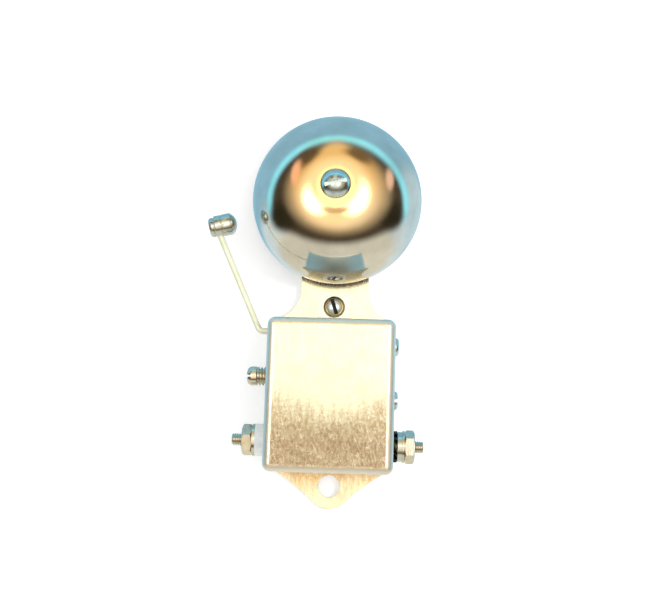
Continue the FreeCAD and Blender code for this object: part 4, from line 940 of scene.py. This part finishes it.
def white_table():
    """The white sheet that the bell lies on, just behind its back. From behind it is clear."""
    half = 1.5
    y = 0.3 * MM
    mesh = bpy.data.meshes.new("white_table")
    corners = [(-half, y, -half), (half, y, -half), (half, y, half), (-half, y, half)]
    mesh.from_pydata(corners, [], [(0, 1, 2, 3)])
    table = bpy.data.objects.new("white_table", mesh)
    bpy.context.scene.collection.objects.link(table)
    material = bpy.data.materials.new("white_card")
    material.use_nodes = True
    tree = material.node_tree
    tree.nodes.clear()
    glow = add(tree, "Emission", {}, {
        "Color": linear("FFFFFF"), "Strength": mixed(tree, (seen_as_white(tree), TABLE_GLOW))})
    grain = blotches(tree, add(tree, "TexCoord").outputs["Object"], 2.0, 0.0, 1.0)
    white = add(tree, "BsdfDiffuse", {}, {
        "Color": layered(tree, linear("EEEEEE"), (linear("EAEAEA"), grain, 1.0))})
    front = add(tree, "AddShader", {}, {0: glow.outputs[0], 1: white.outputs[0]})
    clear = add(tree, "BsdfTransparent")
    behind = add(tree, "NewGeometry").outputs["Backfacing"]
    sides = add(tree, "MixShader", {}, {
        0: behind, 1: front.outputs[0], 2: clear.outputs[0]})
    add(tree, "OutputMaterial", {}, {"Surface": sides.outputs[0]})
    mesh.materials.append(material)
    table.visible_glossy = False


def light_studio():
    """A plain white surround, white to the camera, and one soft lamp from the right."""
    world = bpy.data.worlds.new("white_surround")
    bpy.context.scene.world = world
    world.use_nodes = True
    tree = world.node_tree
    tree.nodes.clear()
    shown = add(tree, "Background", {}, {"Color": linear("FFFFFF"), "Strength": 1.0})
    lighting = add(tree, "Background", {}, {
        "Color": linear("FFFFFF"), "Strength": SURROUND_LIGHT})
    choice = add(tree, "MixShader", {}, {
        0: seen_as_white(tree), 1: lighting.outputs[0], 2: shown.outputs[0]})
    add(tree, "OutputWorld", {}, {"Surface": choice.outputs[0]})

    lamp = bpy.data.lights.new("soft_lamp", "AREA")
    lamp.size = 0.18
    lamp.energy = 3.2
    holder = bpy.data.objects.new("soft_lamp", lamp)
    bpy.context.scene.collection.objects.link(holder)
    holder.location = (0.62, -0.62, 0.10)
    aim = Vector((0, 0, 0)) - holder.location
    holder.rotation_euler = aim.to_track_quat("-Z", "Y").to_euler()
    holder.visible_glossy = False


def place_camera():
    """The photograph's viewpoint: a little right of the bell, below it and looking up."""
    place_mm = (9.83, -350.14, -30.95)
    pitch = 0.151
    yaw = 0.033
    roll = 0.027
    forward = Vector((-math.sin(yaw), math.cos(pitch) * math.cos(yaw),
                      math.sin(pitch) * math.cos(yaw)))
    level_right = Vector((math.cos(yaw), math.cos(pitch) * math.sin(yaw),
                          math.sin(pitch) * math.sin(yaw)))
    level_up = Vector((0, -math.sin(pitch), math.cos(pitch)))
    right = math.cos(roll) * level_right + math.sin(roll) * level_up
    up = -math.sin(roll) * level_right + math.cos(roll) * level_up
    data = bpy.data.cameras.new("camera")
    data.sensor_fit = "HORIZONTAL"
    data.sensor_width = 36.0
    data.lens = 58.99
    data.clip_start = 0.01
    camera = bpy.data.objects.new("camera", data)
    bpy.context.scene.collection.objects.link(camera)
    place = Matrix((right, up, -forward)).transposed().to_4x4()
    place.translation = Vector(place_mm) * MM
    camera.matrix_world = place
    bpy.context.scene.camera = camera


bpy.context.scene.view_settings.view_transform = "Standard"
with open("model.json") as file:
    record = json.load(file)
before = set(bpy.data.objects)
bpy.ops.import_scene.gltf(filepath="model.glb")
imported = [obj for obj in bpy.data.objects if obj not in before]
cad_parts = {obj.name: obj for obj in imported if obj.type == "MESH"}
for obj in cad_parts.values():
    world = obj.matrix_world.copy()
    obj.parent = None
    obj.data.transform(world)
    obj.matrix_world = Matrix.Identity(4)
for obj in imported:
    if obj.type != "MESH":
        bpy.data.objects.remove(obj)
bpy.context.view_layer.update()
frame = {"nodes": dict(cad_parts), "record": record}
materials = make_materials()
dress_nodes(frame, materials)
make_gong(materials)
make_hammer(materials)
make_stud("left_threaded_stud", "left_stud", materials)
make_stud("right_threaded_stud", "right_stud", materials)
make_nut("left_hexagon_nut", "left_nut", "left_nut_turner", 8.6, 14.0, materials)
make_nut("right_hexagon_nut", "right_nut", "right_nut_turner", 9.0, 0.0, materials)
make_contact_screw(materials)
make_slotted_screw("gong_round_head_screw", "gong_screw", (0, GONG_Z), 2.5,
                   head=(4.7, 3.0, 0.15), slot=(1.3, 1.3, 14.0, False), materials=materials)
make_slotted_screw("cover_pan_head_screw", "cover_screw", (0, COVER_SCREW_Z), 1.5,
                   head=(2.6, 1.8, 1.1), slot=(1.2, 0.95, 108.0, True), materials=materials)
make_cover_washer(materials)
make_winding("upper_coil", "upper_winding", materials)
make_winding("lower_coil", "lower_winding", materials)
make_armature_spring(frame, materials)
studio_tent()
white_table()
light_studio()
place_camera()
